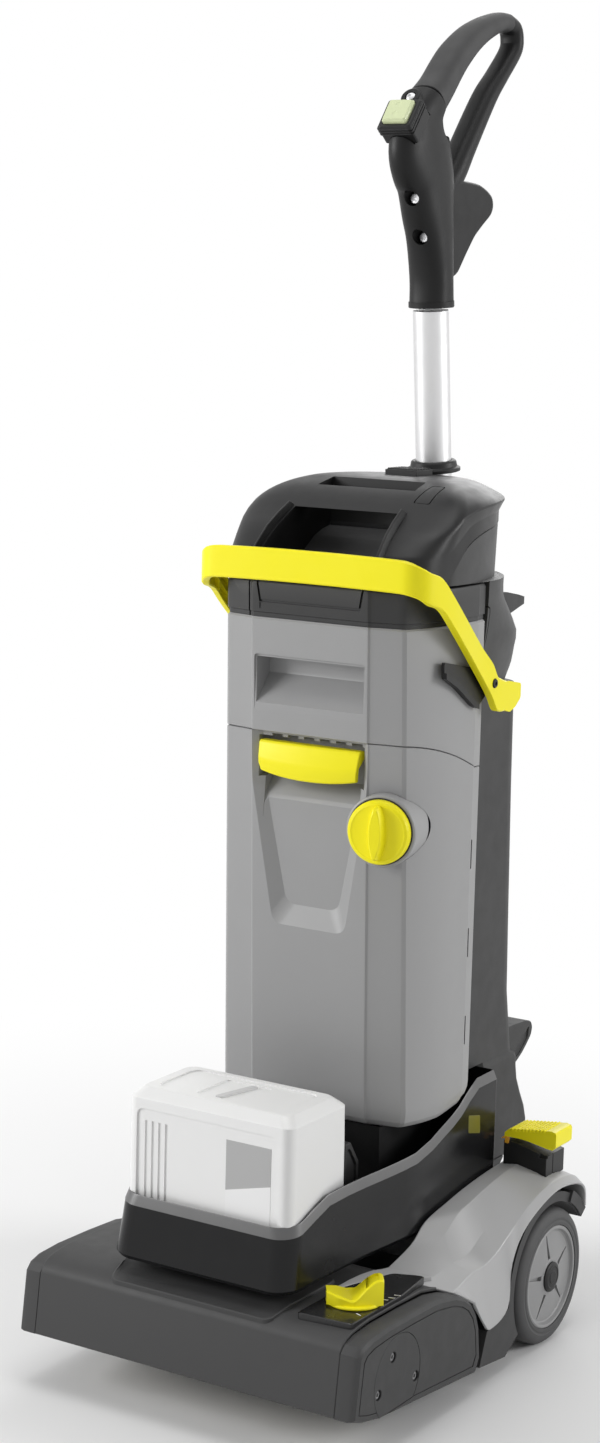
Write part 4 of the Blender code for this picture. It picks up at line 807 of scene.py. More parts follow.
    def build_latch(self) -> None:
        """Build the yellow pull latch, with its curved lower edge."""
        y, z = self.latch_pivot
        rings = []
        for step in range(25):
            part = -1.0 + step / 12
            drop = 28.2 - 4.5 * abs(part) ** 2.2
            half, bow = 50.3 * part, 3 * (1 - part * part)
            rings.append([(half, y + 4.5, z + 3), (half, y - 3 - bow, z + 3),
                (half, y - 4.8 - bow, z + 1.2), (half * 0.985, y - 7.4 - bow, z - drop * 0.45),
                (half * 0.975, y - 7.8 - bow, z - drop * 0.68), (half * 0.95, y - 5.6 - bow,
                z - drop + 0.8), (half * 0.945, y - 4 - bow, z - drop), (half * 0.945, y - 0.8 - bow,
                z - drop), (half * 0.98, y - 3 - bow, z - drop * 0.5), (half, y + 4.5, z - 4)])
        piece("latch_handle", Shape().loft(rings), YELLOW, "latch", replaces=["tank_latch"],
            edge=0.7)

    def build_cap(self) -> None:
        """Build the filler neck and its twist cap with a raised grip bar."""
        outward = self.outward()
        across = outward.cross(Vector((0, 0, 1)))
        centre = Vector(self.cap_centre)
        neck = Shape().turned([(22.2, -30), (31.1, -30), (31.1, 4.6), (30, 6), (22.2, 6)], centre, outward,
            64)
        piece("neck_ring", neck, TANK, "tanks", replaces=["filler_neck"])
        # A thin ring of painted shadow behind the cap's rim.
        rim = Shape().rod(28.6, 6.2, 6.6, centre, outward, 64)
        piece("cap_shadow_ring", rim, SHADOW, "filler_cap", edge=0)
        body = Shape().turned([(0, -12), (21.3, -12), (21.3, 6.7), (27.4, 6.7), (27.4, 11.2), (26, 13.4),
            (23.8, 14.1), (22.6, 13.6), (0, 13.4)], centre, outward, 72)
        rings = []
        for out, scale in ((11, 1.0), (16.5, 0.98), (20, 0.94), (21.8, 0.88), (22.5, 0.78)):
            ring = []
            for turn in turns(32):
                side, up = math.cos(turn), math.sin(turn)
                taper = 1.0 - 0.42 * abs(up) ** 1.5
                wide = (8.8 - 0.25 * (out - 11)) * taper * scale
                ring.append(tuple(centre + across * (wide * boxed(side, 0.6)) + outward * out
                    + Vector((0, 0, 23.8 * scale * boxed(up, 0.8)))))
            rings.append(ring)
        piece("filler_cap_body", body, YELLOW, "filler_cap", joins=[Shape().loft(rings)],
            replaces=["filler_cap"], edge=0.5)

    def build(self) -> None:
        """Build every piece of the tanks."""
        self.build_lower()
        self.build_upper()
        self.build_lid()
        self.build_latch()
        self.build_cap()


@dataclass
class Bail:
    """The yellow bail: a channel-section strap that is ribbed inside, with thumb tabs."""

    pivot: Point2 = (34.5, 604)
    bar: Point2 = (-90.5, 704.5)
    arm_x: float = 113.5
    depth: float = 6.2
    wall: float = 1.8

    def stations(self) -> List[Tuple[float, ...]]:
        """Return (x, y, centre height, half height) from the right tab to the bar's middle."""
        y0, z0 = self.pivot
        y1, z1 = self.bar
        slope = (z1 - 2 - z0) / (-78 - y0)
        rows: List[Tuple[float, ...]] = []
        for x, y, half in ((self.arm_x, 60, 12.5), (self.arm_x, 50, 14.2), (self.arm_x, 40, 15),
                (self.arm_x, 30, 15), (self.arm_x, 10, 13), (114.5, -20, 12.8), (115, -45, 13),
                (114, -62, 13.3)):
            height = z0 + slope * (y - y0)
            if y > 31:
                height = between(y, [(31, z0), (43, 592.5), (60, 590.5)])
            rows.append((x, y, height, half))
        for angle, height in ((-20, 693.5), (-45, 698.5), (-70, 702)):
            turn = math.radians(angle)
            rows.append((91.5 + 21.5 * math.cos(turn), -69 + 21.5 * math.sin(turn), height, 13.6))
        rows += [(85, y1, z1 - 1, 13.7), (30, y1 - 0.5, z1, 13.7)]
        return rows

    def channel_rings(self) -> List[Ring]:
        """Return the rings of the channel section along the whole strap."""
        right = self.stations()
        mirror = [(-x, y, z, half) for x, y, z, half in reversed(right)]
        path = smooth_path(right, 4)[:-1] + smooth_path([right[-1]] + mirror, 4)
        rings = []
        for index, (x, y, z, half) in enumerate(path):
            run = heading(path, index)
            out, back = Vector((-run.y, run.x)) * 2.5, Vector((run.y, -run.x))
            deep, thin = back * (self.depth - 2.5), back * (self.wall - 2.5)
            corners = ((out, -half + 1.2), (out, half - 1.2), (out * 0.5, half), (deep, half),
                (deep, half - 2), (thin, half - 2), (thin, -half + 2), (deep, -half + 2), (deep, -half),
                (out * 0.5, -half))
            rings.append([(x + shift.x, y + shift.y, z + up) for shift, up in corners])
        return rings

    def rib(self, station: Sequence[float], run: Vector, thick: float) -> Shape:
        """Return a cross rib inside the channel at a station."""
        x, y, z, half = station
        back = Vector((-run.y, run.x))
        corners = [(1, 1), (1, -1), (-3.4, -1), (-3.4, 1)]
        rings = []
        for shift in (-thick / 2, thick / 2):
            rings.append([(x + run.x * shift + back.x * a, y + run.y * shift + back.y * a,
                z + b * (half - 1)) for a, b in corners])
        return Shape().loft(rings)

    def tab(self, side: int) -> Shape:
        """Return the angular thumb tab behind the pivot."""
        outline = [(52, 601), (60, 603.5), (83.5, 599), (83.5, 586), (74, 579), (64, 575.5), (52, 579)]
        return Shape().prism(rounded(outline, 2.2, 3), "X", *span(side, self.arm_x - 3.2,
            self.arm_x + 2.5))

    def build(self) -> None:
        """Build the strap with its ribs, tabs and pivot bores."""
        joins = [self.tab(-1), self.tab(1)]
        right = smooth_path(self.stations(), 4)
        for number in (6, 10, 14, 18, 22, 26, 31):
            run = heading(right, number)
            joins.append(self.rib(right[number], run, 1.6))
            x, y, z, half = right[number]
            joins.append(self.rib((-x, y, z, half), Vector((run.x, -run.y)), 1.6))
        web = []
        for side, _ in SIDES:
            rows = [(side * (x - 3.6), y, z) for x, y, z, _ in right[8:34]]
            rings = [[(x + side * 4.4, y, z - 0.8), (x + side * 4.4, y, z + 0.8), (x, y, z + 0.8),
                (x, y, z - 0.8)] for x, y, z in rows]
            web.append(Shape().loft(rings))
        bore = Shape().rod(4.4, -130, 130, (0, *self.pivot))
        piece("bail_strap", Shape().loft(self.channel_rings()), YELLOW, "bail",
            joins=joins + web, cuts=[bore], replaces=["bail"], edge=0.6, angle=40)
        for side, word in SIDES:
            self.build_bracket(side, word)

    def build_bracket(self, side: int, word: str) -> None:
        """Build the dark bracket on the tank, its raised edge and the small pivot screw."""
        plate = [(-40, 629), (-6, 622.5), (34, 615), (43, 604), (35, 593), (20, 583), (11, 586),
            (-19, 605), (-39.5, 615)]
        edge = [(-40, 620), (-19, 610.5), (13, 590.5), (20, 587), (20, 583), (11, 586), (-19, 605),
            (-39.5, 615)]
        pin = Shape().turned([(0, side * 106), (4, side * 106), (4, side * 116.6), (3.4, side * 117.2),
            (0, side * 117.3)], (0, *self.pivot), RIGHT, 32)
        socket = Shape().rod(1.9, side * 116.3, side * 120, (0, *self.pivot), sides=6)
        piece("bail_mount_" + word, Shape().prism(rounded(plate, 2, 2), "X", *span(side, 104.3, 107.2)),
            BLACK, "tanks", joins=[Shape().prism(edge, "X", *span(side, 105, 109.6)), pin],
            cuts=[socket], replaces=["bail_bracket_" + word], edge=0.5)


# ------------------------------------------------------------------ tower top
@dataclass
class TowerTop:
    """The domed top with its carry bar, the housing behind it and the rear column."""

    seam: Table = ((-83, 691.2), (-36, 693), (-3, 721), (30, 732.5), (82.5, 737), (150, 738.5))
    levels: Stations = ((690.5, 103, -83, 153, 0), (714.5, 104, -74, 153.5, 0), (728, 106, -60, 155.5, 5),
        (738.5, 106.5, -45, 156.5, 10), (751, 98, -20, 142, 20), (761, 88, 2, 129, 30),
        (767, 80, 17, 119.5, 40), (772.5, 68, 30, 108, 50), (775, 48, 45, 90, 60))
    pole_base: Point3 = (0, 122.5, 766)
    pole_lean: float = 0.105
    pole_radius: float = 16
    sides: int = 96

    def seam_height(self, y: float) -> float:
        """Return the height of the curved joint between the dome and the housing."""
        return between(y, smooth_path(self.seam, 6))

    def ring(self, height: Callable[[float], float], half: float, front: float, rear: float, centre: float,
            back_power: float = 1.0) -> Ring:
        """Return a plan ring: boxy in front, and boxy or round behind.

        Args:
            height: gives the height at a Y.
            half: half the width.
            front: Y of the front.
            rear: Y of the back.
            centre: Y where the two halves meet.
            back_power: how boxy the back is; 1 is round.

        Returns:
            The points of the ring.
        """
        ring = []
        for turn in turns(self.sides):
            side, along = math.cos(turn - math.pi / 2), math.sin(turn - math.pi / 2)
            power = 0.42 if along < 0 else back_power
            reach = centre - front if along < 0 else rear - centre
            y = centre + reach * boxed(along, power)
            ring.append((half * boxed(side, power), y, height(y)))
        return ring

    def lifted(self, y: float, part: float, top: float) -> float:
        """Return a height between the joint below and the dome's top."""
        seam = self.seam_height(y)
        return seam + (top - seam) * part

    def pole_point(self, z: float) -> Vector:
        """Return the pole's axis at a height."""
        return Vector((0, self.pole_base[1] - self.pole_lean * (z - self.pole_base[2]), z))

    def pole_axis(self) -> Vector:
        """Return the pole's upward direction."""
        return (self.pole_point(1000) - self.pole_point(0)).normalized()

    def pole_bore(self, clear: float = 0.4) -> Shape:
        """Return the cutter of the bore that the pole slides in."""
        return Shape().rod(self.pole_radius + clear, -200, 100, self.pole_point(750), self.pole_axis(), 48)

    def dome_rings(self) -> List[Ring]:
        """Return the rings of the dome, from its curved joint to its top."""
        rings = [self.ring(self.seam_height, 103, -82.8, 153.3, 0), self.ring(lambda y: self.seam_height(y)
            + 0.8, 103.8, -83.4, 153.7, 0)]
        base, top = self.levels[0][0], self.levels[-1][0]
        for z, half, front, rear, centre in smooth_path(self.levels[1:], 3):
            part = (z - base) / (top - base)
            rings.append(self.ring(lambda y, part=part: self.lifted(y, part, top), half, front, rear,
                centre))
        return rings

    def recess_cut(self) -> Shape:
        """Return the cutter of the hand recess and the slot behind the bar, widest in front."""
        hand = [(-110, 706), (-20, 706), (2, 711), (15, 720), (23, 734), (29, 820), (4, 820), (3, 759),
            (-3, 754), (-8, 752), (-15, 750), (-22, 748.5), (-28, 749), (-31, 753), (-32, 820),
            (-110, 820)]
        return Shape().loft([[(side * (49 - 0.1 * y), y, z) for y, z in hand] for side, _ in SIDES])

    def inset_line(self) -> Shape:
        """Return the thin groove that outlines the small inset on the right shoulder."""
        outline = rounded([(57.5, -15), (73.5, -15), (70, 19), (57.5, 19)], 2, 2)
        inner = rounded([(58.4, -14.1), (72.5, -14.1), (69.2, 18.1), (58.4, 18.1)], 2, 2)
        levels = ((outline, 735), (outline, 800), (inner, 800), (inner, 735))
        return Shape().hoop([[(x, y, z) for x, y in points] for points, z in levels])

    def build_dome(self) -> None:
        """Build the dome with its carry bar, the raised edges beside the recess and the collar."""
        pocket = Shape().block((-16.8, 61.2, 760), (16.8, 91.8, 790))
        piece("dome_shell", Shape().loft(self.dome_rings(), Caps.ACROSS), DOME_BLACK, "tower",
            cuts=[self.recess_cut(), self.inset_line(), pocket, self.pole_bore()],
            replaces=["carry_dome"], edge=1.1, angle=24)
        for side, word in SIDES:
            rail = Shape().loft([[(side * x, y, z) for x, y, z in spots] for spots in self.cheek_rail()])
            piece("dome_cheek_" + word, rail, DOME_BLACK, "tower", edge=0.6)
        collar = Shape().turned([(16.3, 0), (24, 0), (24, 3), (21.2, 4.2), (20.4, 8.6), (19.2, 9.8),
            (16.3, 9.8)], self.pole_point(776.5), self.pole_axis(), 56)
        piece("pole_foot_collar", collar, BLACK, "tower", replaces=["pole_collar"],
            edge=0.5)

    def cheek_rail(self) -> List[List[Point3]]:
        """Return the sections of the raised edge beside the hand recess."""
        sections = []
        for y, z, x in ((-82.5, 706.5, 59), (-76, 718, 58.6), (-61, 733.5, 57), (-46, 744, 55.5),
                (-30, 753, 54)):
            sections.append([(x, y + 5, z - 3), (x + 1.2, y - 1.2, z + 1), (x + 3, y - 1, z + 0.8),
                (x + 5, y + 5, z - 3)])
        return sections

    def build_button(self) -> None:
        """Build the ribbed press button beside the pole."""
        button = Shape().block((-16, 62, 765), (16, 91, 779.5))
        joins = []
        for step in range(6):
            y = 64.5 + 4.5 * step
            joins.append(Shape().block((-15, y, 778), (15, y + 1.8, 780.8)))
        piece("pole_release", button, BLACK, "release_button", joins=joins,
            replaces=["pole_button"], edge=0.7)

    def housing_rings(self) -> List[Ring]:
        """Return the rings of the housing behind the tanks and under the dome."""
        shoulders = [(590.3, 80, 162, 0.5), (600, 84.8, 162, 0.52), (610, 90, 162, 0.55),
            (625, 95.5, 161.2, 0.6), (640, 100, 160, 0.65), (660, 101.6, 154, 0.85),
            (674, 102.2, 149, 1.0), (690.5, 102.5, 147.5, 1.0)]
        rings = []
        for z, half, rear, power in smooth_path(shoulders, 2):
            rings.append(self.ring(lambda y, z=z: z, half, 43.5, rear, 43.5, power))
        rings.append(self.ring(lambda y: 691.2, 102.5, -36, 150.5, 0))
        rings.append(self.ring(lambda y: max(self.seam_height(y) - 0.9, 691.8), 103.3, -36.2, 153.3, 0))
        rings.append(self.ring(lambda y: max(self.seam_height(y) - 0.3, 692), 102.4, -35.5, 152.4, 0))
        return rings

    def hook(self) -> Shape:
        """Return the ledge at the back, with its tapered end."""
        rings = []
        for y, half, low, high in ((140, 50, 636, 669), (158, 52.2, 640.5, 668), (170, 54, 645, 666.8),
                (190, 54.5, 650.5, 663.2), (203.5, 54, 653.5, 660.2)):
            rings.append([(-half, y, low), (half, y, low), (half, y, high), (-half, y, high)])
        return Shape().loft(rings)

    def build_housing(self) -> None:
        """Build the housing, with the hook ledge and the seam of its side wing."""
        cuts = [self.pole_bore(0.6)]
        for side, _ in SIDES:
            rows = [(-5, 677), (20, 672.5), (43, 668), (47, 664), (46.5, 656), (45, 640), (44.4, 620)]
            path = smooth_path(rows, 4)
            strip = path + [(y + 1, z + 0.8) for y, z in reversed(path)]
            cuts.append(Shape().prism(strip, "X", *span(side, 85, 106)))
        piece("housing_shell", Shape().loft(self.housing_rings(), Caps.ACROSS), HOUSING, "tower",
            joins=[self.hook()], cuts=cuts, replaces=["top_housing"], edge=1)

    def column_ring(self, z: float, front: float, rear: float, half: float) -> Ring:
        """Return a plan ring of the rear column: a box with a rounded back."""
        radius = between(z, [(220, 9), (236, 12), (245, 22), (300, 30)])
        points = [(0, front), (half - 4, front), (half, front + 4)]
        points += arc((half - radius, rear - radius), radius, 0, 90, 12)
        points += [(0, rear)]
        return [(x, y, z) for x, y in mirrored(points)]

    def build_column(self) -> None:
        """Build the rear column, which steps out into its flared foot."""
        lower = [(138.5, 192, 74), (142, 198.5, 76.8), (148, 204, 78), (157, 206.8, 78.2),
            (166, 207, 78.2), (180, 202, 78.2), (195, 193, 78.2), (210, 185, 78.4), (224, 181.5, 79),
            (233, 181.2, 79.6), (237, 179.5, 79.7), (240, 176, 78.8), (242.7, 174.2, 78)]
        upper = [(243.1, 174, 80), (300, 171.2, 80), (382, 168, 80), (494, 164, 80), (589.2, 162, 80)]
        rings = [self.column_ring(z, 105.5, rear, half) for z, rear, half in lower]
        rings += [self.column_ring(z, 43.5, rear, half) for z, rear, half in upper]
        cuts = []
        for side, _ in SIDES:
            near, far = span(side, 77.5, 85)
            cuts.append(Shape().block((near, 50, 530), (far, 64, 588)))
            near, far = span(side, 79.1, 85)
            cuts.append(Shape().block((near, 50, 240), (far, 51, 529)))
        piece("column_shell", Shape().loft(rings, Caps.ACROSS), DARK_SHELL, "tower",
            cuts=cuts, replaces=["rear_column"], edge=1.2)
        ledge = [(160, 262), (180, 261.8), (204, 260.4), (211.5, 258), (215, 252), (212.8, 244.5),
            (204, 237), (196, 231), (185, 225), (177, 222), (160, 222)]
        hollow = [(178, 236), (208, 254), (206, 243), (190, 231), (179, 228)]
        cuts = [Shape().prism(rounded(hollow, 2, 2), "X", *span(side, 72.5, 80)) for side, _ in SIDES]
        for side, word in SIDES:
            skirt = Shape().prism(rounded([(107, 129), (150, 129), (162, 140), (107, 140)], 2, 2), "X",
                *span(side, 71.5, 76.8))
            piece("column_skirt_" + word, skirt, DARK_SHELL, "tower", edge=0.6)
        piece("column_ledge", Shape().prism(rounded(ledge, 3, 3), "X", -74.5, 74.5), DARK_SHELL, "tower",
            cuts=cuts, edge=0.9)

    def build(self) -> None:
        """Build every piece of the tower's top and back."""
        self.build_dome()
        self.build_button()
        self.build_housing()
        self.build_column()


# ------------------------------------------------------------------ base
@dataclass
class BrushHead:
    """The brush head: its shell, end caps, deck, access plate, bearing cover and brush."""

    half: float = 150
    full: float = 167.5
    wall: float = 3
    roof: Tuple[Point2, ...] = ((-256.5, 48), (-249.5, 100.5), (-246, 106.2), (-240, 110.5), (-232, 113),
        (-220, 114.5), (-205, 115.5), (-160, 114.7), (-120, 113), (-96, 107.5), (-78, 102.2), (-65, 96),
        (-54, 85), (-47, 70), (-43, 30), (-48, 19.5))
    cap: Tuple[Point2, ...] = ((-256.5, 48), (-249.5, 100.5), (-244, 106.5), (-232, 110), (-205, 111.5),
        (-160, 110.5), (-120, 108.5), (-89, 102), (-72, 94.5), (-60, 86), (-51, 74), (-45.5, 60),
        (-42, 30), (-48, 19), (-213, 36), (-240, 42))
    bearing: Point2 = (-187, 63)
    bearing_radius: float = 37
    screws: Tuple[Point2, ...] = ((-194.5, 83), (-156.5, 54), (-216.5, 58))
    brush: Point2 = (-183.5, 62)

    def build_shell(self) -> None:
        """Build the bent shell over the brush."""
        inner = []
        for index, point in enumerate(self.roof):
            run = heading(self.roof, index)
            inner.append((point[0] + run.y * self.wall, point[1] - run.x * self.wall))
        outline = list(self.roof) + list(reversed(inner))
        piece("head_shell", Shape().prism(outline, "X", -self.half, self.half), DARK_SHELL, "root",
            replaces=["brush_housing"], edge=0.8, angle=26)

    def shrunk(self, amount: float) -> List[Point2]:
        """Return the end cap's outline pulled in by about an amount."""
        return [(-150 + (y + 150) * (1 - amount / 106), 65.5 + (z - 65.5) * (1 - amount / 46))
            for y, z in self.cap]

    def build_caps(self) -> None:
        """Build the end caps, with their chamfered edge and the raised line inside it."""
        for side, word in SIDES:
            levels = ((self.half + 0.3, 0), (self.full - 5.5, 0), (self.full - 2, 1.2), (self.full, 3.8))
            rings = [[(side * x, y, z) for y, z in self.shrunk(inset)] for x, inset in levels]
            groove = Shape().hoop([[(side * x, y, z) for y, z in self.shrunk(inset)]
                for x, inset in ((self.full + 4, 8.8), (self.full - 0.9, 8.8), (self.full - 0.9, 10),
                (self.full + 4, 10))])
            seat = Shape().prism(arc(self.bearing, self.bearing_radius + 0.4, -44, 224, 48), "X",
                *span(side, self.full - 2, self.full + 10))
            piece("end_cap_shell_" + word, Shape().loft(rings), DARK_SHELL, "root",
                cuts=[groove, seat], replaces=["end_cap_" + word], edge=0.7, angle=24)
            cover = Shape().prism(arc(self.bearing, self.bearing_radius, -43.5, 223.5, 56), "X",
                *span(side, self.full - 1.8, self.full))
            cuts = [Shape().rod(4.6, 155, 180, (0, *spot), (side, 0, 0)) for spot in self.screws]
            piece("bearing_plate_" + word, cover, DARK_SHELL, "root", cuts=cuts,
                replaces=["bearing_cover"] if side > 0 else [], edge=0.5)
            for number, spot in enumerate(self.screws, 1):
                self.build_screw("cap_screw_%s_%d" % (word, number), side, spot,
                    ["cover_screw_%d" % number] if side > 0 else [])

    def build_screw(self, name: str, side: int, spot: Point2, replaces: List[str]) -> None:
        """Build one recessed screw with a star socket."""
        head = Shape().turned([(0, 165), (3.8, 165), (3.8, 165.6), (3.1, 166.2), (0, 166.3)], (0, *spot),
            (side, 0, 0), 24)
        socket = Shape().prism(star(spot, 2.1, 1.3), "X", *span(side, 165.2, 180))
        piece(name, head, SCREW, "root", cuts=[socket], replaces=replaces, edge=0.2)

    def build_roof(self) -> None:
        """Build the access plate with its inner outline, the deck and the tick marks."""
        plate = rounded([(-80, -246), (80, -246), (86, -214), (86, -150), (-86, -150), (-86, -214)], 8, 6)
        levels = ((108, 0), (116.8, 0), (117.6, 1))
        rings = [[(x * (1 - inset / 86), y + (inset if y < -200 else -inset), z - 0.35 * max(0, -226 - y))
            for x, y in plate] for z, inset in levels]
        line = rounded([(-52, -238), (52, -238), (56, -213), (-56, -213)], 6, 5)
        inner = rounded([(-51, -237), (51, -237), (55, -214), (-55, -214)], 6, 5)
        groove = Shape().hoop([[(x, y, z - 0.35 * max(0, -226 - y)) for x, y in points]
            for points, z in ((line, 116.8), (line, 125), (inner, 125), (inner, 116.8))])
        piece("access_plate", Shape().loft(rings), DARK_SHELL, "root", cuts=[groove],
            edge=0.6, angle=24)
        deck = rounded([(98.5, -234), (148.5, -230), (149.5, -150), (144, -104), (140, -103.5),
            (118, -112), (100, -165)], 4, 5)
        rings = [[(x, y, z) for x, y in deck] for z in (112, 117.6)]
        rings.append([(122 + (x - 122) * 0.97, -170 + (y + 170) * 0.985, 118.2) for x, y in deck])
        piece("selector_deck", Shape().loft(rings), DECK, "root", replaces=["deck_panel"],
            edge=0.5)
        for number, (x, y, turn) in enumerate(((145.5, -162, 20), (146.5, -154.5, 20), (143, -169, 20),
                (142, -209, -20))):
            lean = math.radians(turn)
            corners = rectangle(-2.8, -0.4, 2.8, 0.4)
            mark = [(x + a * math.cos(lean) - b * math.sin(lean), y + a * math.sin(lean) + b
                * math.cos(lean)) for a, b in corners]
            piece("deck_mark_%d" % (number + 1), Shape().prism(mark, "Z", 118, 118.45), LABEL_PALE, "root",
                edge=0.1)

    def build_brush(self) -> None:
        """Build the roller brush: a field of bristles with a spiral of deeper rows."""
        rings = []
        for step in range(73):
            x = -143 + 286 * step / 72
            ring = []
            for turn in turns(96):
                wave = math.cos(6 * (turn + x * 0.009))
                radius = 33.3 + 0.6 * wave + 0.3 * math.cos(31 * turn + 0.09 * x)
                ring.append((x, self.brush[0] + radius * math.cos(turn), self.brush[1] + radius
                    * math.sin(turn)))
            rings.append(ring)
        piece("brush_field", Shape().loft(rings), BRISTLE, "brush", replaces=["brush_bristles"],
            edge=0)

    def build(self) -> None:
        """Build every piece of the brush head."""
        self.build_shell()
        self.build_caps()
        self.build_roof()
        self.build_brush()


@dataclass
class Selector:
    """The yellow water selector: a dished pad that rises into a square-ended lever."""

    centre: Point2 = (124, -186)
    turn: float = -57.0

    @staticmethod
    def half_width(along: float) -> float:
        """Return half the lever's width at a distance along it."""
        return between(along, [(-23.2, 12.5), (-14, 18), (0, 20), (12, 16.8), (23.4, 13.5)])

    def section(self, along: float, points: Sequence[Point2]) -> Ring:
        """Place a cross-section of (across, height) points on the turned lever."""
        cx, cy = self.centre
        lean = math.radians(self.turn)
        return [(cx + across * math.cos(lean) - along * math.sin(lean), cy + across * math.sin(lean)
            + along * math.cos(lean), z) for across, z in points]

    def build(self) -> None:
        """Build the dished body that rises to a square edge, on its round foot."""
        cx, cy = self.centre
        foot = Shape().turned([(0, 118.4), (22.8, 118.4), (23.5, 119), (23.5, 120), (22.6, 121), (0, 121)],
            (cx, cy, 0), (0, 0, 1), 48)
        crest = smooth_path([(-23.2, 129.6), (-15, 127.6), (-7, 125.2), (-2, 124), (3, 127), (9, 133.5),
            (16, 139), (21, 140.2), (23.4, 139.2)], 3)
        rows = []
        for along, top in crest:
            half = self.half_width(along)
            rows.append(self.section(along, [(-half, 120), (half, 120), (half, top + 0.2),
                (half - 1.4, top + 1.8), (-half + 1.4, top - 2.4), (-half, top - 3.8)]))
        pocket = []
        for along, top in crest[15:]:
            if along > 20.8:
                break
            half = self.half_width(along) - 2.6
            pocket.append(self.section(along, [(-half, top - 4.4), (half, top - 0.4), (half, 150),
                (-half, 150)]))
        piece("selector_lever", Shape().loft(rows), YELLOW, "selector", joins=[foot],
            cuts=[Shape().loft(pocket)], replaces=["selector_knob"], edge=0.6)


@dataclass
class Pedal:
    """The yellow foot pedal, which reaches out over the wheel cover, and its black block."""

    near: float = 99
    far: float = 131

    def crest(self, x: float) -> float:
        """Return the height of the pedal's top at a distance out from the centre."""
        return between(x, [(109, 185), (113, 188.6), (156, 194.5), (160, 193.5), (161, 191.5)])

    def build(self) -> None:
        """Build the pedal with its tread ribs, its clip and the block."""
        outline = [(108.5, 180), (112, 181.2), (123, 181.4), (132, 180.8), (142, 179), (152, 177.2),
            (157.5, 176.7), (161, 180), (161, 191.5), (160, 193.5), (156, 194.5), (113, 188.6), (109, 185)]
        joins = []
        for step in range(10):
            x = 115 + 3.6 * step
            top = self.crest(x) + 1.1
            joins.append(Shape().prism([(x, top - 3), (x + 2.6, top - 2.6), (x + 1.9, top + 0.2),
                (x + 0.7, top)], "Y", self.near - 0.5, self.far - 1))
        well = Shape().prism([(118, 170), (149, 170), (148, 184), (118, 184)], "Y", self.near + 4,
            self.far - 4)
        piece("foot_pedal", Shape().prism(outline, "Y", self.near, self.far), YELLOW, "pedal",
            joins=joins, cuts=[well], replaces=["squeegee_pedal"], edge=0.8)
        lip = [(106, 178.8), (112, 180), (112, 181.6), (107.5, 180.6)]
        clip = Shape().prism(lip, "Y", self.near - 0.8, self.near + 6)
        hook = Shape().block((109.8, self.near - 0.8, 175.2), (113.4, self.near + 2, 180.6))
        piece("pedal_spring_clip", clip, ORANGE, "pedal", joins=[hook], edge=0.4)
        stand = [(108, 154), (122, 154), (142, 150.5), (151.5, 148), (151.5, 169), (144, 170.5),
            (130, 174.2), (118, 176.5), (108, 177.2)]
        notch = Shape().block((144, 99, 167.2), (153, 103.2, 175))
        seam = Shape().block((150.8, 113, 144), (153, 114, 175))
        piece("pedal_stand", Shape().prism(stand, "Y", 100.2, 135.8), BLACK, "root",
            cuts=[notch, seam], replaces=["pedal_block"], edge=0.8)


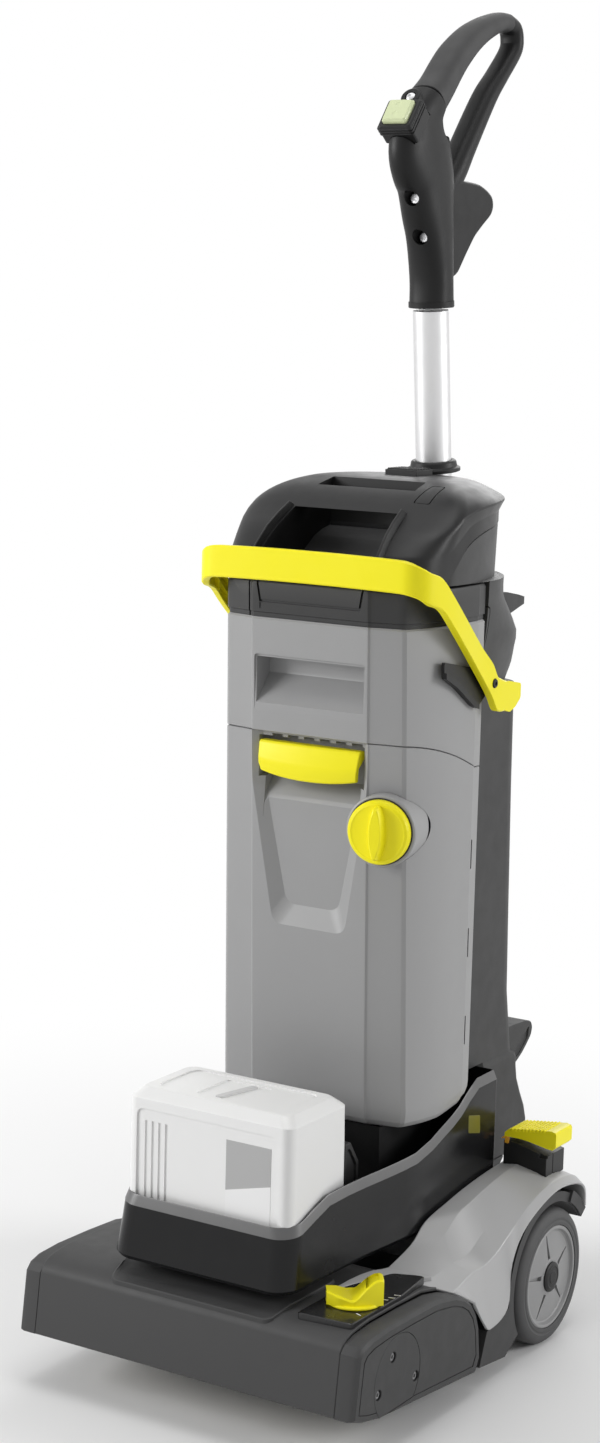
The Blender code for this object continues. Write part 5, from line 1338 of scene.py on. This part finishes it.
@dataclass
class Wheels:
    """Both wheels with their light covers and dark wheel houses."""

    axis: Point2 = (92.5, 62)
    radius: float = 62
    rim: float = 47
    inner: float = 132.5
    outer: float = 165.5
    stations: Tuple[Tuple[float, Tuple[Point2, ...]], ...] = ((104, ((-106, 113.5), (-60, 124), (-35, 138),
        (0, 144.5), (40, 150), (85, 153.5), (131, 154), (146, 148), (156, 134), (158, 118))),
        (122, ((-106, 113.5), (-50, 122), (-10.5, 140.7), (15, 145.5), (50, 152), (88, 156.5),
        (125, 156.3), (145, 150), (156, 136), (158, 116))),
        (142, ((-104, 110.5), (-58, 113.5), (-24, 114), (5, 127), (35, 142), (75, 151), (115, 153),
        (140, 147), (154, 135), (157, 114))), (160, ((-83, 101), (-50, 108.5), (-28, 108.5), (-5, 113.5),
        (20, 125), (50, 139), (90, 148), (128, 146.5), (150, 137), (155, 114))),
        (167, ((-56, 85), (-37, 60), (-24, 51), (6, 60.5), (12, 100), (36, 126), (88, 142.5), (128, 140.5),
        (151, 131), (155, 112))))

    toe: Stations = ((-164, 94.5, 99, 117.6), (-145, 95, 105.6, 117.8), (-130, 96.2, 110.6, 117.6),
        (-114, 98.5, 116.2, 116.8), (-104, 101.5, 137, 115.6), (-92, 104.2, 144, 114.6))

    def build_cover(self, side: int, word: str) -> None:
        """Build the light cover that sweeps over the wheel, smooth along its length."""
        rows = [[(side * x, y, z) for y, z in smooth_path(points, 5)] for x, points in self.stations]
        piece("wheel_cover_skin_" + word, Shape().sheet(rows), COVER, "root",
            replaces=["wheel_cover_" + word], edge=0.6, angle=15, wall=(2.4, -1.0))
        rows = []
        for y, near, far, top in self.toe:
            rows.append([(side * near, y, top - 4), (side * far, y, top - 4), (side * far, y, top),
                (side * near, y, top)])
        piece("cover_toe_" + word, Shape().loft(rows), COVER, "root", edge=0.6, angle=15)

    def build_arch(self, side: int, word: str) -> None:
        """Build the dark wheel house with its thicker lip at the back."""
        inner = arc(self.axis, 68, 212, 38, 48)
        outer = arc(self.axis, 77, 38, 184, 40)
        outline = [(-36, 18.5), (11.3, 12.8)] + inner + outer + [(-24, 48)]
        lip = arc(self.axis, 69, 62, 36, 12) + arc(self.axis, 80, 36, 62, 12)
        piece("wheel_house_" + word, Shape().prism(outline, "X", *span(side, 127.5, 163)), DARK_SHELL,
            "root", joins=[Shape().prism(lip, "X", *span(side, 140, 165.5))],
            replaces=["wheel_arch_" + word], edge=0.8)

    def spots(self, side: int, profile: Sequence[Point2]) -> List[Point2]:
        """Mirror a turned profile to a side."""
        return [(radius, side * along) for radius, along in profile]

    def build_wheel(self, side: int, word: str) -> None:
        """Build the tyre, the grooved hub and the centre cap of one wheel."""
        body = "wheel_" + word
        r, inner, outer = self.radius, self.inner, self.outer
        tyre = [(self.rim, inner), (r - 6, inner), (r - 2.2, inner + 1.2), (r - 0.4, inner + 3.6),
            (r, inner + 7), (r, inner + 15), (r - 0.6, inner + 15.6), (r - 0.6, inner + 16.6),
            (r, inner + 17.2), (r, outer - 8), (r - 0.8, outer - 4.4), (r - 3, outer - 1.8),
            (r - 6.2, outer - 0.4), (r - 9, outer), (r - 10, outer - 0.5), (r - 11.2, outer - 0.5),
            (r - 12, outer), (self.rim, outer)]
        piece(body + "_tread", Shape().turned(self.spots(side, tyre), (0, *self.axis), RIGHT, 96), TYRE,
            body, replaces=[body + "_tyre"], edge=0.4)
        rim = self.rim - 0.4
        hub = [(6.3, inner + 1), (rim, inner + 1), (rim, outer - 0.8), (rim - 1.2, outer - 0.2),
            (rim - 3, outer - 0.6), (rim - 4.2, outer - 3.4), (rim - 5.6, outer - 4.2), (30, outer - 3.4),
            (19, outer - 2.2), (16.5, outer - 1.8), (15.5, outer - 1.2), (6.3, outer - 1.2)]
        cuts = []
        for step in range(5):
            turn = math.radians(90 + 72 * step + 8)
            run = Vector((math.cos(turn), math.sin(turn)))
            cross = Vector((-run.y, run.x))
            start, end = Vector(self.axis) + run * 17, Vector(self.axis) + run * 39.5
            line = [start - cross * 2.2, end - cross * 0.6, end + cross * 0.6, start + cross * 2.2]
            cuts.append(Shape().prism([(p.x, p.y) for p in line], "X",
                *span(side, outer - 5.2, outer + 10)))
        piece(body + "_disc", Shape().turned(self.spots(side, hub), (0, *self.axis), RIGHT, 96), HUB, body,
            cuts=cuts, replaces=[body + "_hub"], edge=0.4)
        cap = [(0, outer - 1.4), (13.8, outer - 1.4), (13.6, outer + 0.2), (11.8, outer + 1.1),
            (10, outer + 1.4), (9.4, outer + 1), (6, outer + 1.2), (5.6, outer + 1.6), (0, outer + 1.6)]
        piece(body + "_centre", Shape().turned(self.spots(side, cap), (0, *self.axis), RIGHT, 48), BLACK,
            body, replaces=[body + "_cap"], edge=0.2)

    def build(self) -> None:
        """Build both wheels and what covers them."""
        for side, word in SIDES:
            self.build_cover(side, word)
            self.build_arch(side, word)
            self.build_wheel(side, word)


@dataclass
class Tray:
    """The glossy battery tray with its bevelled rim, and the plug block behind the battery."""

    floor: float = 125
    rear: float = 98
    rim: Table = ((-228, 180), (-205, 183.5), (-170, 196), (-137, 198), (-48, 200.5), (0, 213), (30, 224),
        (62, 242.4), (98, 242.4))

    def plan(self, inset: float, spread: float) -> List[Point2]:
        """Return the tray's plan outline; spread widens its sloping front."""
        half = 87 + spread * 0.35
        front = -228 - spread
        radius = 20
        points = [(0, front), (half - radius, front)]
        points += arc((half - radius, front + radius), radius, -78, 0, 12)
        points += [(87.6 + spread * 0.3, -190), (88.5 + spread * 0.2, -170), (90.5 + spread * 0.1, -145),
            (92.5, -120), (94.5, -100), (96.5, -80), (98.5, -62), (100.5, -45), (101, -20), (101, 0),
            (101, 16), (101, 30), (101, 46), (101, 62), (101, self.rear - 3), (98, self.rear),
            (0, self.rear)]
        moved = []
        for x, y in points:
            shift = 0
            if y < -200:
                shift = inset
            elif y > self.rear - 7:
                shift = -inset
            elif y < -160:
                shift = inset * 0.3
            moved.append((max(0, x - inset) if x > NOTHING else 0, y + shift))
        return mirrored(moved)

    def at_rim(self, inset: float, spread: float, drop: float) -> Ring:
        """Return a ring that follows the sweeping rim."""
        rim = smooth_path(self.rim, 4)
        return [(x, y, between(y, rim) - drop) for x, y in self.plan(inset, spread)]

    def build(self) -> None:
        """Build the tray and the plug block."""
        rings = [[(x, y, self.floor) for x, y in self.plan(5.5, 7)], [(x, y, self.floor + 1.2)
            for x, y in self.plan(2.2, 7.8)], [(x, y, self.floor + 5) for x, y in self.plan(0, 8)]]
        for part in (0.35, 0.7):
            rim = smooth_path(self.rim, 4)
            rings.append([(x, y, self.floor + 5 + (between(y, rim) - self.floor - 14) * part)
                for x, y in self.plan(0, 8 * (1 - part))])
        rings += [self.at_rim(0, 0.4, 9), self.at_rim(2.2, 0, 1), self.at_rim(2.8, 0, 0),
            self.at_rim(3.8, 0, 0.4), [(x, y, 150) for x, y in self.plan(4.2, 0)],
            [(x, y, 147) for x, y in self.plan(6, 0)]]
        lugs = []
        outline = [(63, 127)] + arc((93, 110), 11.5, 200, 350, 16) + [(97, 127)]
        for low in (-79, 66):
            lugs.append(Shape().prism(outline, "X", low, low + 13))
        bore = Shape().rod(5.4, -110, 110, (0, 93, 110))
        piece("tray_shell", Shape().loft(rings, Caps.FLAT), GLOSS_BLACK, "tower",
            joins=lugs, cuts=[bore], replaces=["battery_tray"], edge=0.5, angle=24)
        bevel = [self.at_rim(0.1, 0.3, 8.7), self.at_rim(2.2, 0, 1.1), self.at_rim(2.8, 0, 0.1)]
        strip = [[(x * 1.0004, y, z + 0.2) for x, y, z in ring] for ring in bevel]
        rows = [ring[:30] for ring in strip]
        for side, word in reversed(SIDES):
            shape = Shape().sheet([[(side * x, y, z) for x, y, z in row] for row in rows])
            piece("tray_rim_" + word, shape, RIM_BLACK, "tower", edge=0, angle=40,
                wall=(0.6, 0))
        for side, word in reversed(SIDES):
            window = Shape().prism(rounded([(44, 196.5), (66, 191), (65, 208), (43.5, 213)], 2, 3), "X",
                *span(side, 100.6, 101.4))
            piece("tray_window_" + word, window, OLIVE, "tower", edge=0.2)
        block = Shape().prism([(-127, 147.3), (-104, 147.3), (-104, 206), (-118, 226), (-127, 226)], "X",
            -34, 76)
        cuts = [Shape().block((44, -140, 190), (72, -118, 222)), Shape().block((-30, -140, 190),
            (38, -124, 222))]
        side_cut = Shape().prism(rounded([(-124, 170), (-108, 170), (-108, 204), (-119, 220), (-124, 220)],
            2, 2), "X", 74.2, 80)
        piece("plug_block", block, BLACK, "tower", cuts=cuts + [side_cut],
            replaces=["battery_connector"], edge=0.8)


@dataclass
class Battery:
    """The white battery, with its inset front, its ribs, its plain label and its top latch."""

    half: float = 82
    front: float = -222
    rear: float = -131
    low: float = 147.5
    top: float = 272

    def ring(self, z: float, inset: float) -> Ring:
        """Return a rounded plan ring at a height."""
        half, front, rear = self.half - inset, self.front + inset, self.rear - inset
        radius = 9.5
        points = [(0, front)]
        points += arc((half - radius, front + radius), radius, -90, 0, 10)
        points += arc((half - radius, rear - radius), radius, 0, 90, 10)
        points += [(0, rear)]
        return [(x, y, z) for x, y in mirrored(points)]

    def panel(self, outline: Sequence[Point2], depth: float) -> Shape:
        """Return a cutter of a shallow panel in the front face."""
        return Shape().prism(outline, "Y", self.front - 10, self.front + depth)

    def build(self) -> None:
        """Build the case, the label and the top latch."""
        rings = [self.ring(z, inset) for z, inset in ((self.low, 3), (self.low + 3, 0), (180, 0),
            (230, 0.2), (263.5, 0.6), (264.6, 1.3), (270.6, 7.8), (271.6, 9.2), (self.top, 11.2))]
        front = rounded(rectangle(-71.5, 150, 70.5, 255), 7, 5)
        cuts = [self.panel(front, 1.8)]
        for step in range(4):
            x = -64 + 6.8 * step
            cuts.append(self.panel(rectangle(x, 153, x + 3, 245), 3))
        top = [(x * 0.955, y) for x, y, _ in self.ring(0, 16)]
        cuts.append(Shape().prism(top, "Z", self.top - 1.2, self.top + 10))
        pad = rounded(rectangle(-26, -201, 19, -153), 3, 3)
        cuts.append(Shape().prism(pad, "Z", self.top - 2.4, self.top + 10))
        piece("battery_case", Shape().loft(rings, Caps.ACROSS), BATTERY, "battery",
            cuts=cuts, replaces=["battery_pack"], edge=0.6, angle=24)
        face = self.front + 1.8
        upper = [(18, 201), (62, 212), (62, 244), (18, 244)]
        lower = [(18, 153), (62, 153), (62, 212), (18, 201)]
        for name, outline, finish in (("label_upper", upper, LABEL_DARK),
                ("label_lower", lower, LABEL_PALE)):
            piece("battery_" + name, Shape().prism(outline, "Y", face - 0.25, face + 0.2), finish,
                "battery", edge=0)
        pull = rounded([(-9, -199), (-2, -199), (8, -157), (1, -157)], 2, 3)
        piece("battery_pull", Shape().prism(pull, "Z", self.top - 2.6, self.top - 0.6), BATTERY_TRIM,
            "battery", edge=0.5)


# ------------------------------------------------------------------ handle
@dataclass
class Handle:
    """The pole and the grip: stem, loop, soft pad, rear lobe, switch and screws."""

    stem: Stations = ((107.5, 921.5, 19, 19), (105.7, 947, 19, 18), (101, 980, 19, 22.5),
        (95, 1005, 19, 29), (89.8, 1029.6, 19, 35), (81, 1048, 18.5, 40), (76, 1060, 18, 40),
        (75.5, 1074, 17.2, 33), (80, 1088, 16.8, 22), (88.5, 1098.5, 16.5, 17.5))
    pad: Stations = ((88.9, 1099, 16.5, 16.5), (103, 1111, 16, 15), (119, 1127.5, 15.5, 14.5),
        (134, 1141, 15, 14), (156.4, 1156, 14, 12.5), (180.5, 1167.4, 13, 10.7), (208.8, 1176.5, 12, 8.8),
        (224.5, 1177.5, 11.5, 8.5))
    strut: Stations = ((224.9, 1177.4, 11.2, 8.3), (236, 1174, 11.2, 8.2), (240.5, 1165, 11.2, 8.2),
        (237.5, 1153, 11.2, 8.2), (213.7, 1130, 11.5, 8.2), (190.8, 1108.4, 12, 9.5),
        (154.8, 1064, 12.5, 11), (135, 1038, 12.5, 12), (108, 1010, 11, 12))
    lobe: Tuple[Point2, ...] = ((98, 1034), (150, 1033), (172, 1031.5), (186, 1027), (196, 1021.5),
        (198.5, 1014), (195, 1006), (180, 996.5), (163.5, 985), (148, 968), (132, 949), (106, 943))
    switch: Point3 = (0, 47, 1080)
    tilt: float = 38.0
    screws: Tuple[Point2, ...] = ((1014.4, 72), (981.8, 90))

    def tube(self, path: Sequence[Sequence[float]], sides: int, square: float = 0.85) -> Shape:
        """Return a smooth bar through (y, z, half width, half depth) stations.

        Args:
            path: the stations.
            sides: how many points its section has.
            square: how round the section is; 1 is an ellipse.

        Returns:
            The bar.
        """
        rings = []
        for index, (y, z, half_x, half_n) in enumerate(path):
            run = heading(path, index)
            normal = Vector((-run.y, run.x))
            ring = []
            for turn in turns(sides):
                deep = half_n * boxed(math.sin(turn), square)
                ring.append((half_x * boxed(math.cos(turn), square), y + normal.x * deep,
                    z + normal.y * deep))
            rings.append(ring)
        return Shape().loft(rings)

    def switch_axes(self) -> Tuple[Vector, Vector]:
        """Return the switch's outward and upward directions."""
        lean = math.radians(self.tilt)
        return (Vector((0, -math.cos(lean), math.sin(lean))), Vector((0, math.sin(lean), math.cos(lean))))

    def switch_block(self, levels: Sequence[Tuple[float, float, float]], corner: float = 3) -> Shape:
        """Return a rounded block on the switch's axis, from (out, half width, half height)."""
        outward, up = self.switch_axes()
        rings = []
        for out, wide, tall in levels:
            outline = rounded(rectangle(-wide, -tall, wide, tall), corner, 4)
            rings.append([tuple(Vector(self.switch) + outward * out + Vector((a, 0, 0)) + up * b)
                for a, b in outline])
        return Shape().loft(rings)

    def build_body(self) -> None:
        """Build the moulded body with its strut, lobe and screw holes."""
        stem = self.tube(smooth_path(self.stem, 5), 32)
        strut = self.tube(smooth_path(self.strut, 5), 24, 0.9)
        edge = rounded(self.lobe, 6, 3)
        rings = []
        for x, inset in ((-11.8, 0.9), (-10.8, 0.96), (-8.5, 1.0), (8.5, 1.0), (10.8, 0.96), (11.8, 0.9)):
            rings.append([(x, 145 + (y - 145) * inset, 1000 + (z - 1000) * inset) for y, z in edge])
        lobe = Shape().loft(rings)
        cuts = [self.switch_block(((-12, 16.9, 16.9), (30, 16.9, 16.9)))]
        for z, front in self.screws:
            cuts.append(Shape().turned([(0, -2), (5.6, -2), (6.6, 10), (6.6, 60), (0, 60)], (3, front, z),
                (0, -1, 0), 32))
        ring = Shape().turned([(15, -1), (20.4, -1), (20.4, 4), (15, 4)], (0, 107.2, 923), (0, -0.105, 1),
            40)
        piece("grip_shell", stem, GRIP, "handle", joins=[strut, lobe, ring], cuts=cuts,
            replaces=["grip_body"], edge=0.6, angle=34)

    def build_pad(self) -> None:
        """Build the soft pad over the front of the loop."""
        piece("grip_soft_pad", self.tube(smooth_path(self.pad, 5), 32), SOFT_GRIP, "handle",
            replaces=["grip_pad"], edge=0.6)

    def build_switch(self) -> None:
        """Build the rubber boot, its ribs and the pale rocker."""
        boot = self.switch_block(((-11.5, 16.4, 16.1), (7, 16.4, 16.1), (9, 15, 14.8)))
        well = self.switch_block(((-2, 12.4, 12.4), (30, 12.4, 12.4)), 2)
        joins = [self.switch_block(((out, 17.2, 16.9), (out + 1.4, 17.2, 16.9))) for out in (-1, 2.2, 5.2)]
        piece("switch_cuff", boot, BLACK, "handle", joins=joins, cuts=[well],
            replaces=["switch_boot"], edge=0.5)
        rocker = self.switch_block(((2.2, 11.9, 11.9), (11.2, 11.9, 11.9), (13.5, 10.6, 10.6)), 2)
        outward, up = self.switch_axes()
        dips = []
        for shift in (-5.2, 5.2):
            centre = Vector(self.switch) + outward * 14 + up * shift
            dips.append(Shape().turned([(0, -1), (3, -0.6), (3.8, 3), (0, 3)], centre, outward, 24))
        piece("rocker_switch", rocker, LENS, "power_rocker", cuts=dips,
            replaces=["power_switch"], edge=0.5)

    def build_screws(self) -> None:
        """Build the two recessed screws in the front of the stem and the one over the switch."""
        for number, (z, front) in enumerate(self.screws, 1):
            head = Shape().turned([(0, -1.5), (5.2, -1.5), (5.2, 4.4), (4, 5.5), (0, 5.7)], (3, front, z),
                (0, -1, 0), 32)
            socket = Shape().prism(star((3, z), 2.4, 1.5), "Y", front - 8, front - 4.6)
            piece("stem_screw_%d" % number, head, ZINC, "handle", cuts=[socket],
                replaces=["grip_screw_%d" % number], edge=0.2)
        outward, up = self.switch_axes()
        place = Vector(self.switch) + up * 23.5 + outward * 3
        boss = Shape().turned([(0, -12), (9.8, -12), (9.2, 0.4), (8, 1.2), (4.8, 1.2), (4.8, -0.6),
            (0, -0.6)], place, outward, 32)
        piece("switch_boss", boss, GRIP, "handle", edge=0.4)
        top = Shape().turned([(0, -0.8), (4.2, -0.8), (4.2, 0.6), (3, 1.6), (0, 1.8)], place, outward, 32)
        dent = Shape().rod(1.8, 0.8, 3, place, outward, 6)
        piece("switch_screw", top, ZINC, "handle", cuts=[dent], edge=0.2)

    def build_pole(self) -> None:
        """Build the aluminium pole."""
        top = TowerTop()
        axis = top.pole_axis()
        low, high = ((z - 750) / axis.z for z in (690, 919))
        shape = Shape().turned([(0, low), (15.2, low), (16, low + 1), (16, high), (0, high)],
            top.pole_point(750), axis, 64)
        piece("pole_tube", shape, ALUMINIUM, "handle", replaces=["pole"], edge=0.3)

    def build(self) -> None:
        """Build every piece of the handle."""
        self.build_body()
        self.build_pad()
        self.build_switch()
        self.build_screws()
        self.build_pole()


# ------------------------------------------------------------------ kept nodes
@dataclass
class KeptParts:
    """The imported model's own nodes that stay as they are, with their finishes."""

    nodes: Dict[str, Finish] = field(default_factory=lambda: {"axle": ZINC, "chassis": DARK_SHELL,
        "pivot_bracket_left": DARK_SHELL, "pivot_bracket_right": DARK_SHELL, "brush_motor": ZINC,
        "tower_pivot_pin": ZINC, "park_skid_left": RUBBER, "park_skid_right": RUBBER, "brush_core": BLACK,
        "squeegee_frame": BLACK, "squeegee_lip_front": RUBBER, "squeegee_lip_rear": RUBBER,
        "tank_seat": BLACK, "suction_motor": ZINC})

    def build(self) -> None:
        """Give every kept node its finish."""
        for node, finish in self.nodes.items():
            keep(node, finish)


def main() -> None:
    """Build the studio and every sub-assembly, in order."""
    logging.basicConfig(level=logging.INFO, format="%(message)s")
    Studio().build()
    for part in (BrushHead(), Selector(), Pedal(), Wheels(), Tray(), Battery(), TowerTop(), TankPair(),
            Bail(), Handle(), KeptParts()):
        part.build()


if __name__ == "__main__":
    main()
